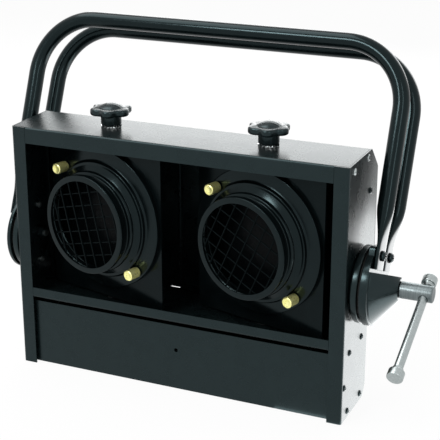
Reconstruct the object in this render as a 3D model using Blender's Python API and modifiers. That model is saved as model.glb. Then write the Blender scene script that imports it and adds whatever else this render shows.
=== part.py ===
"""Audience blinder: two lamp heads that pan in a sheet steel housing, on a double tube yoke.

Metres, +Z up. X runs across the front, the front faces -Y, and the origin lies under the
middle of the base. Each head turns about an upright pan axis, the yoke leans about the pivot
axis, and a screw with a sliding bar clamps it on the right.
"""

import math

import bmesh
import bpy
from mathutils import Matrix, Vector

# Clearance between neighbours that meet
GAP = 0.0003
# Overlap of shapes that are joined, and how far a cutter runs past what it cuts
OVERLAP = 0.0004
CUT_PAST = 0.004

# Housing of folded sheet
SHEET = 0.0015
FOLD_RADIUS = 0.0024
SIDE_SPACE = 0.0195
HOUSING_HEIGHT = 0.270
BASE_DEPTH = 0.077
TOP_DEPTH = 0.070
CHAMFER_RUN = 0.021
CHAMFER_FALL = 0.0215
BASE_CORNER_RUN = 0.007
BASE_CORNER_RISE = 0.011
SIDE_FLANGE = 0.0155
TOP_FLANGE = 0.0171
SCREW_FLANGE = 0.012

# Shelf that parts the lamp compartment from the wiring compartment
SHELF_HEIGHT = 0.079
SHELF_FLANGE = 0.0114
VENT_LENGTH = 0.012
VENT_WIDTH = 0.005
VENT_PITCH = 0.039
VENT_COUNT = 9
VENT_EDGE = 0.011

# Front panel of the wiring compartment
PANEL_TOP = 0.0735
PANEL_BOTTOM = 0.0012
PANEL_RECESS = 0.005
PANEL_HOLE_HEIGHT = 0.0455
PANEL_HOLE_DIAMETER = 0.0045

# Rear cover of the lamp compartment
REAR_COVER_STANDOFF = 0.0099
REAR_COVER_FALL = 0.0042
REAR_COVER_LAP = 0.026
RIB_PLACE = 0.038
RIB_RADIUS = 0.0028

# Wiring compartment's fittings
TERMINAL_LENGTH = 0.062
TERMINAL_WIDTH = 0.020
TERMINAL_HEIGHT = 0.016
TERMINAL_WAYS = 5
TERMINAL_SCREW_HOLE = 0.0036
GLAND_HEIGHT = 0.036
GLAND_PLACE = -0.110
GLAND_BORE = 0.010
GLAND_THREAD = 0.0198
GLAND_COLLAR = 0.026
GLAND_COLLAR_LENGTH = 0.005
GLAND_CAP = 0.0245
GLAND_CAP_LENGTH = 0.015
GLAND_CAP_TAPER = 0.005
GLAND_CAP_TAPER_LENGTH = 0.006
GLAND_NUT_LENGTH = 0.004
GLAND_NUT_ACROSS = 0.027
EARTH_STUD_DIAMETER = 0.005
EARTH_STUD_LENGTH = 0.014
EARTH_STUD_PLACE = 0.120
THREAD_PAST_NUT = 0.002
NUT_ACROSS_SHARE = 1.6
NUT_LENGTH_SHARE = 0.8

# Pivot axis of the yoke
PIVOT_DEPTH = 0.043
PIVOT_HEIGHT = 0.1383
YOKE_LEAN = math.radians(23.2)
DISC_DIAMETER = 0.0788
DISC_BOSS_DIAMETER = 0.068
DISC_BOSS = 0.0028
DISC_THICKNESS = 0.0062
WASHER_DIAMETER = 0.072
WASHER_THICKNESS = 0.0020
HUB_DIAMETER = 0.081
HUB_LIP = 0.0082
HUB_LIP_EDGE = 0.0012
CONE_LENGTH = 0.0224
CONE_TIP_DIAMETER = 0.022
CONE_FLAT = 0.012
LUG_TOP = 0.038
LUG_HALF_WIDTH = 0.029
LUG_THICKNESS = 0.0070
LUG_CORNER = 0.004

# Clamp screw and its sliding bar
SCREW_SHANK = 0.012
SCREW_HEAD = 0.017
SCREW_HEAD_LENGTH = 0.0332
SCREW_NUT_ACROSS = 0.019
SCREW_NUT_LENGTH = 0.009
BAR_DIAMETER = 0.009
BAR_PLACE = 0.0247
BAR_TILT = math.radians(25.3)
BAR_UPPER_CAP = 0.015
BAR_LOWER_CAP = 0.016
BAR_CAP_LENGTH = 0.009
BAR_COLLAR = 0.0034
BAR_COLLAR_DIAMETER = 0.0108
BAR_LENGTH = 0.1307
BAR_SEAT = 0.6

# Left pivot bolt
BOLT_SHANK = 0.008
BOLT_HEAD_ACROSS = 0.013
BOLT_HEAD_LENGTH = 0.0053
BOLT_SHOULDER = 0.003

# Yoke of two bent tubes
TUBE_DIAMETER = 0.017
YOKE_HEIGHT = 0.2364
YOKE_CORNER = 0.0635
TUBE_SPREAD_LOW = 0.0225
TUBE_SPREAD_HIGH = 0.0244
FLAT_SPREAD = 0.0153
FLAT_BOTTOM = 0.0155
FLAT_TOP = 0.0375
ROUND_FROM = 0.0615
FLAT_WIDTH = 0.0268
FLAT_THICKNESS = 0.0042
BRACKET_BOLT_HEIGHT = 0.0295
BRACKET_BOLT_SHANK = 0.006
BRACKET_BOLT_HEAD = 0.0105
BRACKET_BOLT_HEAD_LENGTH = 0.0038
BRACKET_BOLT_LENGTH = 0.0095

# Lamp heads
HEAD_WIDTH = 0.155
HEAD_SPACE = 0.021
PAN_DEPTH = 0.0395
REST_PAN = math.radians(14.0)
HEAD_AHEAD = 0.014
HEAD_BEHIND = 0.014
HEAD_FLANGE_END = 0.060
HEAD_CLEARANCE = 0.002
PAN_STUD = 0.006
PAN_BOLT_HEAD = 0.010
PAN_BOLT_HEAD_LENGTH = 0.004
WELD_NUT_ACROSS = 0.011
WELD_NUT_LENGTH = 0.005
PAN_WASHER_DIAMETER = 0.022
PAN_WASHER_THICKNESS = 0.0014
LAMP_OPENING_LAP = 0.0025

# Snoot, from its flange to its front ring
SNOOT_WALL = 0.0012
SNOOT_FRONT = 0.0475
APERTURE_DIAMETER = 0.094
FRONT_RING_DIAMETER = 0.1064
FRONT_RING_LENGTH = 0.0058
BARREL_DIAMETER = 0.1010
BEAD_DIAMETER = 0.1092
BEAD_AHEAD = 0.0317
BEAD_WIDTH = 0.0052
BASE_RING_DIAMETER = 0.1250
BASE_RING_AHEAD = 0.0256
FLANGE_MARGIN = 0.0011
FLANGE_AHEAD = 0.0203
FLANGE_CONE = 0.0011
FLANGE_EDGE = 0.0018
BASE_SLOPE = 0.6

# Thumb nuts and studs that hold the snoot
NUT_OFFSET = 0.0487
NUT_DIAMETER = 0.0115
NUT_LENGTH = 0.0145
NUT_STUD = 0.004
NUT_RECESS = 0.0052
NUT_EDGE = 0.0008
STUD_SHORT = 0.0025

# Wire grid, with each layer's place across it as a share of the pitch
GRID_PITCH = 0.0134
GRID_WIRE = 0.0015
GRID_RIM_WIRE = 0.0026
GRID_LAYER = 0.4
GRID_TURN_LEFT = math.radians(15.0)
GRID_TURN_RIGHT = math.radians(-25.0)
GRID_SHIFT_LEFT = (0.23, 0.50)
GRID_SHIFT_RIGHT = (0.15, -0.40)

# Lamp, its cup and its terminal block
LAMP_RIM_DIAMETER = 0.113
LAMP_RIM_LENGTH = 0.0046
LAMP_RIM_WIDTH = 0.0045
LAMP_RIM_STEP = 0.0006
LAMP_DOME = 0.0040
LAMP_DEPTH = 0.044
LAMP_NECK_DIAMETER = 0.026
LAMP_NECK_LENGTH = 0.004
LAMP_WALL = 0.0016
LAMP_VENT = 0.008
LAMP_BOWL_CURVE = 1.9
CUP_WALL = 0.0015
CUP_LIP = 0.0030
SOCKET_WIDTH = 0.026
SOCKET_HEIGHT = 0.016
SOCKET_LENGTH = 0.0085
SOCKET_CORNER = 0.003
SOCKET_SCREW = 0.006
SOCKET_SCREW_LENGTH = 0.0015

# Star knobs
KNOB_DIAMETER = 0.044
KNOB_LOBES = 6
KNOB_LOBE_DEPTH = 0.0034
KNOB_LOBE_CURVE = 1.4
KNOB_HEAD = 0.009
KNOB_DOME = 0.005
KNOB_DOME_DIAMETER = 0.027
KNOB_HUB_DIAMETER = 0.0194
KNOB_HUB = 0.0100
KNOB_EDGE = 0.0016
KNOB_HUB_EDGE = 0.0012
LOCK_WASHER_DIAMETER = 0.023
LOCK_WASHER_THICKNESS = 0.0016
LOCK_WASHER_TEETH = 20
LOCK_WASHER_TOOTH = 0.0012

# Sizes and places that follow from the sizes above
PAN_SPACING = HEAD_WIDTH + HEAD_SPACE
HOUSING_WIDTH = PAN_SPACING + HEAD_WIDTH + 2 * SIDE_SPACE
FLANGE_DIAMETER = HEAD_WIDTH - 2 * FLANGE_MARGIN
LAMP_LENS_DIAMETER = LAMP_RIM_DIAMETER - 2 * LAMP_RIM_WIDTH
LAMP_OPENING = LAMP_RIM_DIAMETER - 2 * LAMP_OPENING_LAP
FRONT = -BASE_DEPTH / 2
HALF_WIDTH = HOUSING_WIDTH / 2
INNER_SIDE = HALF_WIDTH - SHEET - GAP
PIVOT = Vector((0, FRONT + PIVOT_DEPTH, PIVOT_HEIGHT))
TOP_REAR = FRONT + TOP_DEPTH + CHAMFER_RUN
COVER_REAR = TOP_REAR + REAR_COVER_STANDOFF
CHAMFER_FOOT = HOUSING_HEIGHT - CHAMFER_FALL
SHELF_TOP = SHELF_HEIGHT + SHEET
COVER_UNDERSIDE = HOUSING_HEIGHT - SHEET
LAMP_HEIGHT = (SHELF_TOP + COVER_UNDERSIDE) / 2
HEAD_HEIGHT = COVER_UNDERSIDE - SHELF_TOP - 2 * HEAD_CLEARANCE
DISC_FROM = HALF_WIDTH + GAP
DISC_FACE = DISC_FROM + DISC_BOSS + DISC_THICKNESS
WASHER_FROM = DISC_FACE + GAP
HUB_FROM = WASHER_FROM + WASHER_THICKNESS + GAP
LIP_FACE = HUB_FROM + HUB_LIP
LUG_FACE = HUB_FROM + LUG_THICKNESS
YOKE_HALF_WIDTH = LUG_FACE + GAP + FLAT_THICKNESS / 2
CONE_TIP = LIP_FACE + CONE_LENGTH
SCREW_HEAD_FROM = CONE_TIP + GAP

BIG_STEPS = 26
DISC_STEPS = 26
LAMP_STEPS = 16
ROUND_STEPS = 18
SMALL_STEPS = 14
NUT_STEPS = 12
STUD_STEPS = 10
TINY_STEPS = 8

NAME = "audience_blinder"


def clear_scene():
    for item in list(bpy.data.objects):
        bpy.data.objects.remove(item, do_unlink=True)
    parts = bpy.data.collections.new(NAME)
    bpy.context.scene.collection.children.link(parts)
    return parts


def finish_of(name, colour, roughness, metallic):
    material = bpy.data.materials.new(name)
    material.use_nodes = True
    shader = material.node_tree.nodes["Principled BSDF"]
    shader.inputs["Base Color"].default_value = (*colour, 1)
    shader.inputs["Roughness"].default_value = roughness
    shader.inputs["Metallic"].default_value = metallic
    return material


# Shapes

def place(name, mesh):
    piece = bpy.data.objects.new(name, mesh)
    PARTS.objects.link(piece)
    return piece


def settle(piece):
    """Makes the piece's modifiers part of its mesh."""
    bpy.context.view_layer.update()
    graph = bpy.context.evaluated_depsgraph_get()
    mesh = bpy.data.meshes.new_from_object(piece.evaluated_get(graph))
    piece.modifiers.clear()
    piece.data = mesh
    return piece


def move_mesh(piece, matrix):
    piece.data.transform(matrix)
    return piece


def box(low, high, name="box"):
    low = Vector(low)
    high = Vector(high)
    mesh = bpy.data.meshes.new(name)
    body = bmesh.new()
    bmesh.ops.create_cube(body, size=1)
    bmesh.ops.scale(body, vec=high - low, verts=body.verts)
    bmesh.ops.translate(body, vec=(high + low) / 2, verts=body.verts)
    body.to_mesh(mesh)
    body.free()
    return place(name, mesh)


AXES = {
    "x": Matrix(((0, 0, 1, 0), (0, 1, 0, 0), (-1, 0, 0, 0), (0, 0, 0, 1))),
    "-y": Matrix(((1, 0, 0, 0), (0, 0, -1, 0), (0, 1, 0, 0), (0, 0, 0, 1))),
    "y": Matrix(((1, 0, 0, 0), (0, 0, 1, 0), (0, -1, 0, 0), (0, 0, 0, 1))),
    "z": Matrix.Identity(4),
}


def cylinder(radius, low, high, axis="z", at=(0, 0, 0), steps=SMALL_STEPS, name="cylinder"):
    """A closed cylinder from low to high along an axis through the point at."""
    mesh = bpy.data.meshes.new(name)
    body = bmesh.new()
    bmesh.ops.create_cone(
        body, cap_ends=True, segments=steps, radius1=radius, radius2=radius, depth=high - low
    )
    bmesh.ops.translate(body, vec=(0, 0, (low + high) / 2), verts=body.verts)
    body.to_mesh(mesh)
    body.free()
    return move_mesh(place(name, mesh), Matrix.Translation(at) @ AXES[axis])


def hexagon(across, low, high, axis="z", at=(0, 0, 0)):
    return cylinder(across / math.sqrt(3), low, high, axis, at, steps=6)


def turned(name, profile, steps, axis="z", wall=0.0):
    """Turns a profile of (radius, height) points, which runs down its outer side.

    A profile with a wall is an open line, thickened inwards; one without is closed on the axis or
    on itself.
    """
    mesh = bpy.data.meshes.new(name)
    closed = wall == 0 and profile[0][0] > 0
    count = len(profile)
    edges = [(i, i + 1) for i in range(count - 1)]
    if closed:
        edges.append((count - 1, 0))
    mesh.from_pydata([(radius, 0, height) for radius, height in profile], edges, [])
    piece = place(name, mesh)
    screw = piece.modifiers.new("turn", "SCREW")
    screw.steps = steps
    screw.render_steps = steps
    screw.use_merge_vertices = True
    screw.merge_threshold = 0.00002
    if wall:
        shell = piece.modifiers.new("wall", "SOLIDIFY")
        shell.thickness = wall
        shell.offset = -1
        shell.use_even_offset = True
    settle(piece)
    return move_mesh(piece, AXES[axis])


PLANES = {
    "yz": Matrix(((0, 0, 1, 0), (1, 0, 0, 0), (0, 1, 0, 0), (0, 0, 0, 1))),
    "xz": Matrix(((1, 0, 0, 0), (0, 0, -1, 0), (0, 1, 0, 0), (0, 0, 0, 1))),
    "xy": Matrix.Identity(4),
}


def prism(name, outlines, plane, low, high, edge=0.0):
    """Extrudes flat outlines, the first one the rim and the others holes, from low to high."""
    curve = bpy.data.curves.new(name, "CURVE")
    curve.dimensions = "2D"
    curve.fill_mode = "BOTH"
    curve.extrude = (high - low) / 2 - edge
    if edge:
        curve.bevel_depth = edge
        curve.bevel_resolution = 0
        curve.offset = -edge
    for outline in outlines:
        spline = curve.splines.new("POLY")
        spline.points.add(len(outline) - 1)
        for point, (a, b) in zip(spline.points, outline):
            point.co = (a, b, 0, 1)
        spline.use_cyclic_u = True
    guide = bpy.data.objects.new(name + "_outline", curve)
    PARTS.objects.link(guide)
    middle = (low + high) / 2
    if plane == "xz":
        middle = -middle
    mesh = mesh_of_curve(guide)
    mesh.transform(PLANES[plane] @ Matrix.Translation((0, 0, middle)))
    return place(name, mesh)


def mesh_of_curve(guide):
    bpy.context.view_layer.update()
    graph = bpy.context.evaluated_depsgraph_get()
    mesh = bpy.data.meshes.new_from_object(guide.evaluated_get(graph))
    bpy.data.objects.remove(guide, do_unlink=True)
    body = bmesh.new()
    body.from_mesh(mesh)
    bmesh.ops.remove_doubles(body, verts=body.verts, dist=0.00001)
    bmesh.ops.recalc_face_normals(body, faces=body.faces)
    body.to_mesh(mesh)
    body.free()
    return mesh


def combine(piece, others, operation):
    for other in others:
        change = piece.modifiers.new(operation.lower(), "BOOLEAN")
        change.operation = operation
        change.solver = "EXACT"
        change.object = other
    settle(piece)
    for other in others:
        bpy.data.objects.remove(other, do_unlink=True)
    return piece


def join(piece, *others):
    return combine(piece, others, "UNION")


def cut(piece, *others):
    return combine(piece, others, "DIFFERENCE")


def keep_inside(piece, other):
    return combine(piece, [other], "INTERSECT")


def finish(piece, name, material, parent=None, angle=35):
    """Names a piece, gives it its material and shading, and hangs it on its parent."""
    piece.name = name
    piece.data.name = name
    piece.data.materials.clear()
    piece.data.materials.append(material)
    piece.data.shade_smooth()
    piece.data.set_sharp_from_angle(angle=math.radians(angle))
    piece.parent = parent
    return piece


def axis_empty(name, at, turn=(0, 0, 0)):
    empty = bpy.data.objects.new(name, None)
    empty.location = at
    empty.rotation_euler = turn
    PARTS.objects.link(empty)
    return empty


# Outlines

def arc(centre, radius, start, end, steps):
    """Points of an arc from start to end degrees."""
    angles = [math.radians(start + (end - start) * i / steps) for i in range(steps + 1)]
    return [(centre[0] + radius * math.cos(a), centre[1] + radius * math.sin(a)) for a in angles]


def circle(centre, radius, steps):
    return arc(centre, radius, 0, 360, steps)[:-1]


def rounded_rectangle(low, high, radius, steps=3):
    corners = [(high[0], high[1], 0), (low[0], high[1], 90), (low[0], low[1], 180), (high[0], low[1], 270)]
    points = []
    for x, y, start in corners:
        inward = (x - radius if x == high[0] else x + radius, y - radius if y == high[1] else y + radius)
        points += arc(inward, radius, start, start + 90, steps)
    return points


def folded(points, radius, steps=3):
    """Rounds the inner corners of an open line."""
    line = [Vector(p) for p in points]
    result = [line[0]]
    for before, corner, after in zip(line, line[1:], line[2:]):
        back = (before - corner).normalized()
        ahead = (after - corner).normalized()
        half = back.angle(ahead) / 2
        reach = radius / math.tan(half)
        centre = corner + (back + ahead).normalized() * radius / math.sin(half)
        first = corner + back * reach - centre
        turn = first.angle_signed(corner + ahead * reach - centre)
        for i in range(steps + 1):
            angle = -turn * i / steps
            result.append(centre + Matrix.Rotation(angle, 2) @ first)
    result.append(line[-1])
    return result


def beside(line, distance):
    """The line that lies a distance to the left of an open line, with mitred corners."""
    result = []
    for i, point in enumerate(line):
        normals = []
        for a, b in ((i - 1, i), (i, i + 1)):
            if a >= 0 and b < len(line):
                step = (line[b] - line[a]).normalized()
                normals.append(Vector((-step.y, step.x)))
        normal = sum(normals, Vector((0, 0))).normalized()
        result.append(point + normal * distance / normal.dot(normals[0]))
    return result


def bent_sheet(name, points, plane, low, high, thickness=SHEET):
    """A folded sheet whose outer face follows the points, with the metal on their left."""
    outer = folded(points, FOLD_RADIUS)
    outline = outer + beside(outer, thickness)[::-1]
    return prism(name, [[tuple(p) for p in outline]], plane, low, high)


# Housing

def side_outline():
    return [
        (FRONT, 0), (FRONT, HOUSING_HEIGHT), (FRONT + TOP_DEPTH, HOUSING_HEIGHT),
        (TOP_REAR, CHAMFER_FOOT), (TOP_REAR, SHELF_HEIGHT), (FRONT + BASE_DEPTH, SHELF_HEIGHT),
        (FRONT + BASE_DEPTH, BASE_CORNER_RISE), (FRONT + BASE_DEPTH - BASE_CORNER_RUN, 0),
    ]


def side_plate(side, hole):
    """The right plate is folded from a flange at the front; the left one is its mirror image."""
    line = [(HALF_WIDTH - SIDE_FLANGE, FRONT), (HALF_WIDTH, FRONT), (HALF_WIDTH, TOP_REAR + CUT_PAST)]
    plate = bent_sheet("side", line, "xy", 0, HOUSING_HEIGHT)
    keep_inside(plate, prism("outline", [side_outline()], "yz", 0, HOUSING_WIDTH))
    cut(plate, cylinder(hole / 2 + GAP, 0, HOUSING_WIDTH, "x", PIVOT))
    if side < 0:
        mirror(plate)
    return plate


def mirror(piece):
    piece.data.transform(Matrix.Scale(-1, 4, (1, 0, 0)))
    piece.data.flip_normals()
    return piece


def pan_places():
    return [(side * PAN_SPACING / 2, FRONT + PAN_DEPTH) for side in (-1, 1)]


def stud_holes(low, high):
    return [cylinder(PAN_STUD / 2 + GAP, low, high, "z", (x, y, 0)) for x, y in pan_places()]


def flange_notches():
    """Cutters that leave room for the side plates' front flanges."""
    inner = HALF_WIDTH - SIDE_FLANGE - GAP
    notches = []
    for side in (-1, 1):
        ends = sorted((side * inner, side * HOUSING_WIDTH))
        notches.append(box(
            (ends[0], FRONT - CUT_PAST, -CUT_PAST),
            (ends[1], FRONT + FOLD_RADIUS + GAP, HOUSING_HEIGHT + CUT_PAST),
        ))
    return notches


def top_cover():
    """Front flange, flat top and rear chamfer, with screw flanges folded down at its ends."""
    line = [
        (FRONT, HOUSING_HEIGHT - TOP_FLANGE), (FRONT, HOUSING_HEIGHT),
        (FRONT + TOP_DEPTH, HOUSING_HEIGHT), (TOP_REAR, CHAMFER_FOOT),
    ]
    cover = bent_sheet("cover", line[::-1], "yz", -INNER_SIDE, INNER_SIDE)
    cut(cover, *flange_notches())
    for side in (-1, 1):
        ends = sorted((side * INNER_SIDE, side * (INNER_SIDE - SHEET)))
        flange = box(
            (ends[0], FRONT + FOLD_RADIUS + SHEET, COVER_UNDERSIDE - SCREW_FLANGE),
            (ends[1], FRONT + TOP_DEPTH - FOLD_RADIUS, COVER_UNDERSIDE + OVERLAP),
        )
        join(cover, flange)
    return cut(cover, *stud_holes(COVER_UNDERSIDE - CUT_PAST, HOUSING_HEIGHT + CUT_PAST))


def vent_slots(low, high):
    """Slots in a row behind the wiring compartment, centred on the middle of the shelf."""
    near = COVER_REAR - VENT_EDGE - VENT_WIDTH
    slots = []
    for i in range(VENT_COUNT):
        x = (i - (VENT_COUNT - 1) / 2) * VENT_PITCH
        slots.append(box((x - VENT_LENGTH / 2, near, low), (x + VENT_LENGTH / 2, near + VENT_WIDTH, high)))
    return slots


def shelf():
    """Front flange folded up, full depth to the rear cover, and screw flanges folded down."""
    rear = COVER_REAR - SHEET - GAP
    line = [(FRONT, SHELF_TOP + SHELF_FLANGE - SHEET), (FRONT, SHELF_HEIGHT), (rear, SHELF_HEIGHT)]
    inner = INNER_SIDE - SHEET - GAP
    plate = bent_sheet("shelf", line, "yz", -INNER_SIDE, INNER_SIDE)
    behind = FRONT + BASE_DEPTH - SHEET - GAP
    for side in (-1, 1):
        ends = sorted((side * INNER_SIDE, side * (INNER_SIDE - SHEET)))
        flange = box(
            (ends[0], FRONT + PANEL_RECESS + SHEET + GAP, SHELF_HEIGHT - SCREW_FLANGE),
            (ends[1], behind, SHELF_HEIGHT + OVERLAP),
        )
        notch_ends = sorted((side * inner, side * (INNER_SIDE + CUT_PAST)))
        notch = box(
            (notch_ends[0], TOP_REAR - REAR_COVER_LAP - GAP, SHELF_HEIGHT + SHEET / 2),
            (notch_ends[1], COVER_REAR + CUT_PAST, SHELF_TOP + CUT_PAST),
        )
        join(plate, flange)
        cut(plate, notch)
    cut(plate, *flange_notches())
    cut(plate, *vent_slots(SHELF_HEIGHT - CUT_PAST, SHELF_TOP + CUT_PAST))
    return cut(plate, *stud_holes(SHELF_HEIGHT - CUT_PAST, SHELF_TOP + CUT_PAST))


def front_panel():
    """Set back between the side flanges, with screw flanges folded back at its ends."""
    line = [
        (-INNER_SIDE, FRONT + PANEL_RECESS + SCREW_FLANGE), (-INNER_SIDE, FRONT + PANEL_RECESS),
        (INNER_SIDE, FRONT + PANEL_RECESS), (INNER_SIDE, FRONT + PANEL_RECESS + SCREW_FLANGE),
    ]
    panel = bent_sheet("panel", line, "xy", PANEL_BOTTOM, PANEL_TOP)
    hole = cylinder(
        PANEL_HOLE_DIAMETER / 2, FRONT, FRONT + PANEL_RECESS + CUT_PAST, "y", (0, 0, PANEL_HOLE_HEIGHT)
    )
    corner = box(
        (-HALF_WIDTH, FRONT + PANEL_RECESS + SHEET + GAP, -CUT_PAST),
        (HALF_WIDTH, FRONT + BASE_DEPTH, SHEET + GAP + PANEL_BOTTOM),
    )
    upper = box(
        (-HALF_WIDTH, FRONT + PANEL_RECESS + SHEET, SHELF_HEIGHT - SCREW_FLANGE - GAP),
        (HALF_WIDTH, FRONT + BASE_DEPTH, SHELF_HEIGHT),
    )
    return cut(panel, hole, corner, upper)


def bottom_tray():
    """Flat base with screw flanges folded up at its ends, behind the front panel's."""
    line = [
        (-INNER_SIDE, SCREW_FLANGE), (-INNER_SIDE, 0), (INNER_SIDE, 0), (INNER_SIDE, SCREW_FLANGE),
    ]
    from_front = FRONT + PANEL_RECESS + SCREW_FLANGE + GAP
    rear = FRONT + BASE_DEPTH - BASE_CORNER_RUN - 2 * SHEET
    tray = bent_sheet("tray", line, "xz", from_front, rear)
    ahead = box(
        (-INNER_SIDE + FOLD_RADIUS, FRONT + PANEL_RECESS + SHEET + GAP, 0),
        (INNER_SIDE - FOLD_RADIUS, from_front + OVERLAP, SHEET),
    )
    return join(tray, ahead)


def wiring_cover():
    """Lower rear panel with its slanted foot, and the hole for the cable gland."""
    rear = FRONT + BASE_DEPTH
    line = [
        (rear - BASE_CORNER_RUN + GAP, GAP), (rear, BASE_CORNER_RISE), (rear, SHELF_HEIGHT - GAP),
    ]
    panel = bent_sheet("wiring_cover", line, "yz", -INNER_SIDE, INNER_SIDE)
    hole = cylinder(
        GLAND_THREAD / 2 + GAP, rear - CUT_PAST - SHEET, rear + CUT_PAST, "y", (GLAND_PLACE, 0, GLAND_HEIGHT)
    )
    return cut(panel, hole)


def rear_cover():
    """Pan that closes the lamp compartment behind, its flanges lapped inside the side plates."""
    front = TOP_REAR - REAR_COVER_LAP
    low = SHELF_HEIGHT + SHEET / 2 + GAP
    lip_top = CHAMFER_FOOT - SHEET
    lip_foot = CHAMFER_FOOT - REAR_COVER_FALL
    plan = folded([
        (INNER_SIDE, front - CUT_PAST), (INNER_SIDE, COVER_REAR), (-INNER_SIDE, COVER_REAR),
        (-INNER_SIDE, front - CUT_PAST),
    ], FOLD_RADIUS)
    crown = folded([
        (TOP_REAR - CUT_PAST, lip_top), (TOP_REAR, lip_top), (COVER_REAR, lip_foot), (COVER_REAR, 0),
    ], FOLD_RADIUS)
    shell = keep_inside(
        prism("pan", [[tuple(p) for p in plan]], "xy", low, HOUSING_HEIGHT),
        prism(
            "crown", [[(front, 0), (front, lip_top), *[tuple(p) for p in crown]]], "yz", -HALF_WIDTH, HALF_WIDTH
        ),
    )
    inner_plan = [tuple(p) for p in beside(plan, SHEET)]
    inner_crown = [tuple(p) for p in beside(crown, -SHEET)]
    mouth = TOP_REAR - CUT_PAST
    inside = keep_inside(
        prism("hollow", [inner_plan], "xy", low - CUT_PAST, HOUSING_HEIGHT + CUT_PAST),
        prism("under", [[
            (front - 2 * CUT_PAST, -CUT_PAST), (front - 2 * CUT_PAST, HOUSING_HEIGHT),
            (mouth, HOUSING_HEIGHT), *inner_crown[:-1], (COVER_REAR - SHEET, -CUT_PAST),
        ]], "yz", -HALF_WIDTH, HALF_WIDTH),
    )
    cut(shell, inside)
    rib_top = lip_foot - FOLD_RADIUS - SHEET
    for side in (-1, 1):
        centre = (side * RIB_PLACE, COVER_REAR - SHEET / 2, 0)
        rib = cylinder(RIB_RADIUS, SHELF_TOP + FOLD_RADIUS, rib_top, "z", centre, NUT_STEPS)
        keep = box((-HALF_WIDTH, 0, 0), (HALF_WIDTH, COVER_REAR - SHEET + OVERLAP, HOUSING_HEIGHT))
        join(shell, keep_inside(rib, keep))
    return shell


def terminal_block():
    """Ceramic block with a screw well for each way."""
    middle = FRONT + BASE_DEPTH / 2
    low = (-TERMINAL_LENGTH / 2, middle - TERMINAL_WIDTH / 2, SHEET + GAP)
    high = (TERMINAL_LENGTH / 2, middle + TERMINAL_WIDTH / 2, SHEET + GAP + TERMINAL_HEIGHT)
    block = box(low, high)
    pitch = TERMINAL_LENGTH / TERMINAL_WAYS
    wells = []
    for i in range(TERMINAL_WAYS):
        x = low[0] + pitch * (i + 0.5)
        wells.append(cylinder(
            TERMINAL_SCREW_HOLE / 2, high[2] - TERMINAL_HEIGHT / 2, high[2] + CUT_PAST, "z", (x, middle, 0), TINY_STEPS
        ))
    for i in range(1, TERMINAL_WAYS):
        x = low[0] + pitch * i
        wells.append(box(
            (x - SHEET / 2, low[1] - CUT_PAST, high[2] - TERMINAL_HEIGHT / 4),
            (x + SHEET / 2, high[1] + CUT_PAST, high[2] + CUT_PAST),
        ))
    return cut(block, *wells)


def earth_stud():
    base = SHEET + GAP
    place_y = FRONT + BASE_DEPTH / 2
    stud = cylinder(EARTH_STUD_DIAMETER / 2, base, base + EARTH_STUD_LENGTH, "z", (EARTH_STUD_PLACE, place_y, 0))
    nut = hexagon(
        EARTH_STUD_DIAMETER * NUT_ACROSS_SHARE, base, base + EARTH_STUD_DIAMETER, "z", (EARTH_STUD_PLACE, place_y, 0)
    )
    return join(stud, nut)


def gland_axis(piece):
    return move_mesh(piece, Matrix.Translation((GLAND_PLACE, FRONT + BASE_DEPTH, GLAND_HEIGHT)))


def cable_gland():
    """Collar against the panel, a domed cap and a thread that passes inside, bored through."""
    collar = GAP + GLAND_COLLAR_LENGTH
    end = collar + GLAND_CAP_LENGTH
    bore = GLAND_BORE / 2
    thread = -SHEET - GAP - GLAND_NUT_LENGTH - THREAD_PAST_NUT
    profile = [
        (bore, end), (GLAND_CAP / 2 - GLAND_CAP_TAPER, end), (GLAND_CAP / 2, end - GLAND_CAP_TAPER_LENGTH),
        (GLAND_CAP / 2, collar),
        (GLAND_COLLAR / 2, collar), (GLAND_COLLAR / 2, GAP), (GLAND_THREAD / 2, GAP),
        (GLAND_THREAD / 2, thread), (bore, thread),
    ]
    return gland_axis(turned("gland", profile, SMALL_STEPS, "y"))


def gland_nut():
    inside = -SHEET - GAP
    nut = hexagon(GLAND_NUT_ACROSS, inside - GLAND_NUT_LENGTH, inside, "y")
    cut(nut, cylinder(GLAND_THREAD / 2 + GAP, inside - 2 * GLAND_NUT_LENGTH, CUT_PAST, "y"))
    return gland_axis(nut)


# Pivot

def friction_disc(bore):
    """Disc on a smaller boss, screwed to the side plate."""
    boss = DISC_FROM + DISC_BOSS
    edge = HUB_LIP_EDGE
    profile = [
        (bore / 2, DISC_FACE), (DISC_DIAMETER / 2 - edge, DISC_FACE), (DISC_DIAMETER / 2, DISC_FACE - edge),
        (DISC_DIAMETER / 2, boss), (DISC_BOSS_DIAMETER / 2, boss), (DISC_BOSS_DIAMETER / 2, DISC_FROM),
        (bore / 2, DISC_FROM),
    ]
    return turned("friction_disc", profile, DISC_STEPS, "x")


def washer(inner, outer, low, high, axis, steps):
    profile = [(inner, high), (outer, high), (outer, low), (inner, low)]
    return turned("washer", profile, steps, axis)


def friction_washer(bore):
    return washer(bore / 2, WASHER_DIAMETER / 2, WASHER_FROM, WASHER_FROM + WASHER_THICKNESS, "x", DISC_STEPS)


def lug():
    """Plate that the flattened tube ends are bolted to."""
    outline = rounded_rectangle((-LUG_HALF_WIDTH, 0), (LUG_HALF_WIDTH, LUG_TOP), LUG_CORNER)
    return prism("lug", [outline], "yz", HUB_FROM + SHEET, LUG_FACE)


def bracket_holes(low, high, radius):
    return [
        cylinder(radius, low, high, "x", (0, side * FLAT_SPREAD, BRACKET_BOLT_HEIGHT), STUD_STEPS)
        for side in (-1, 1)
    ]


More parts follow.
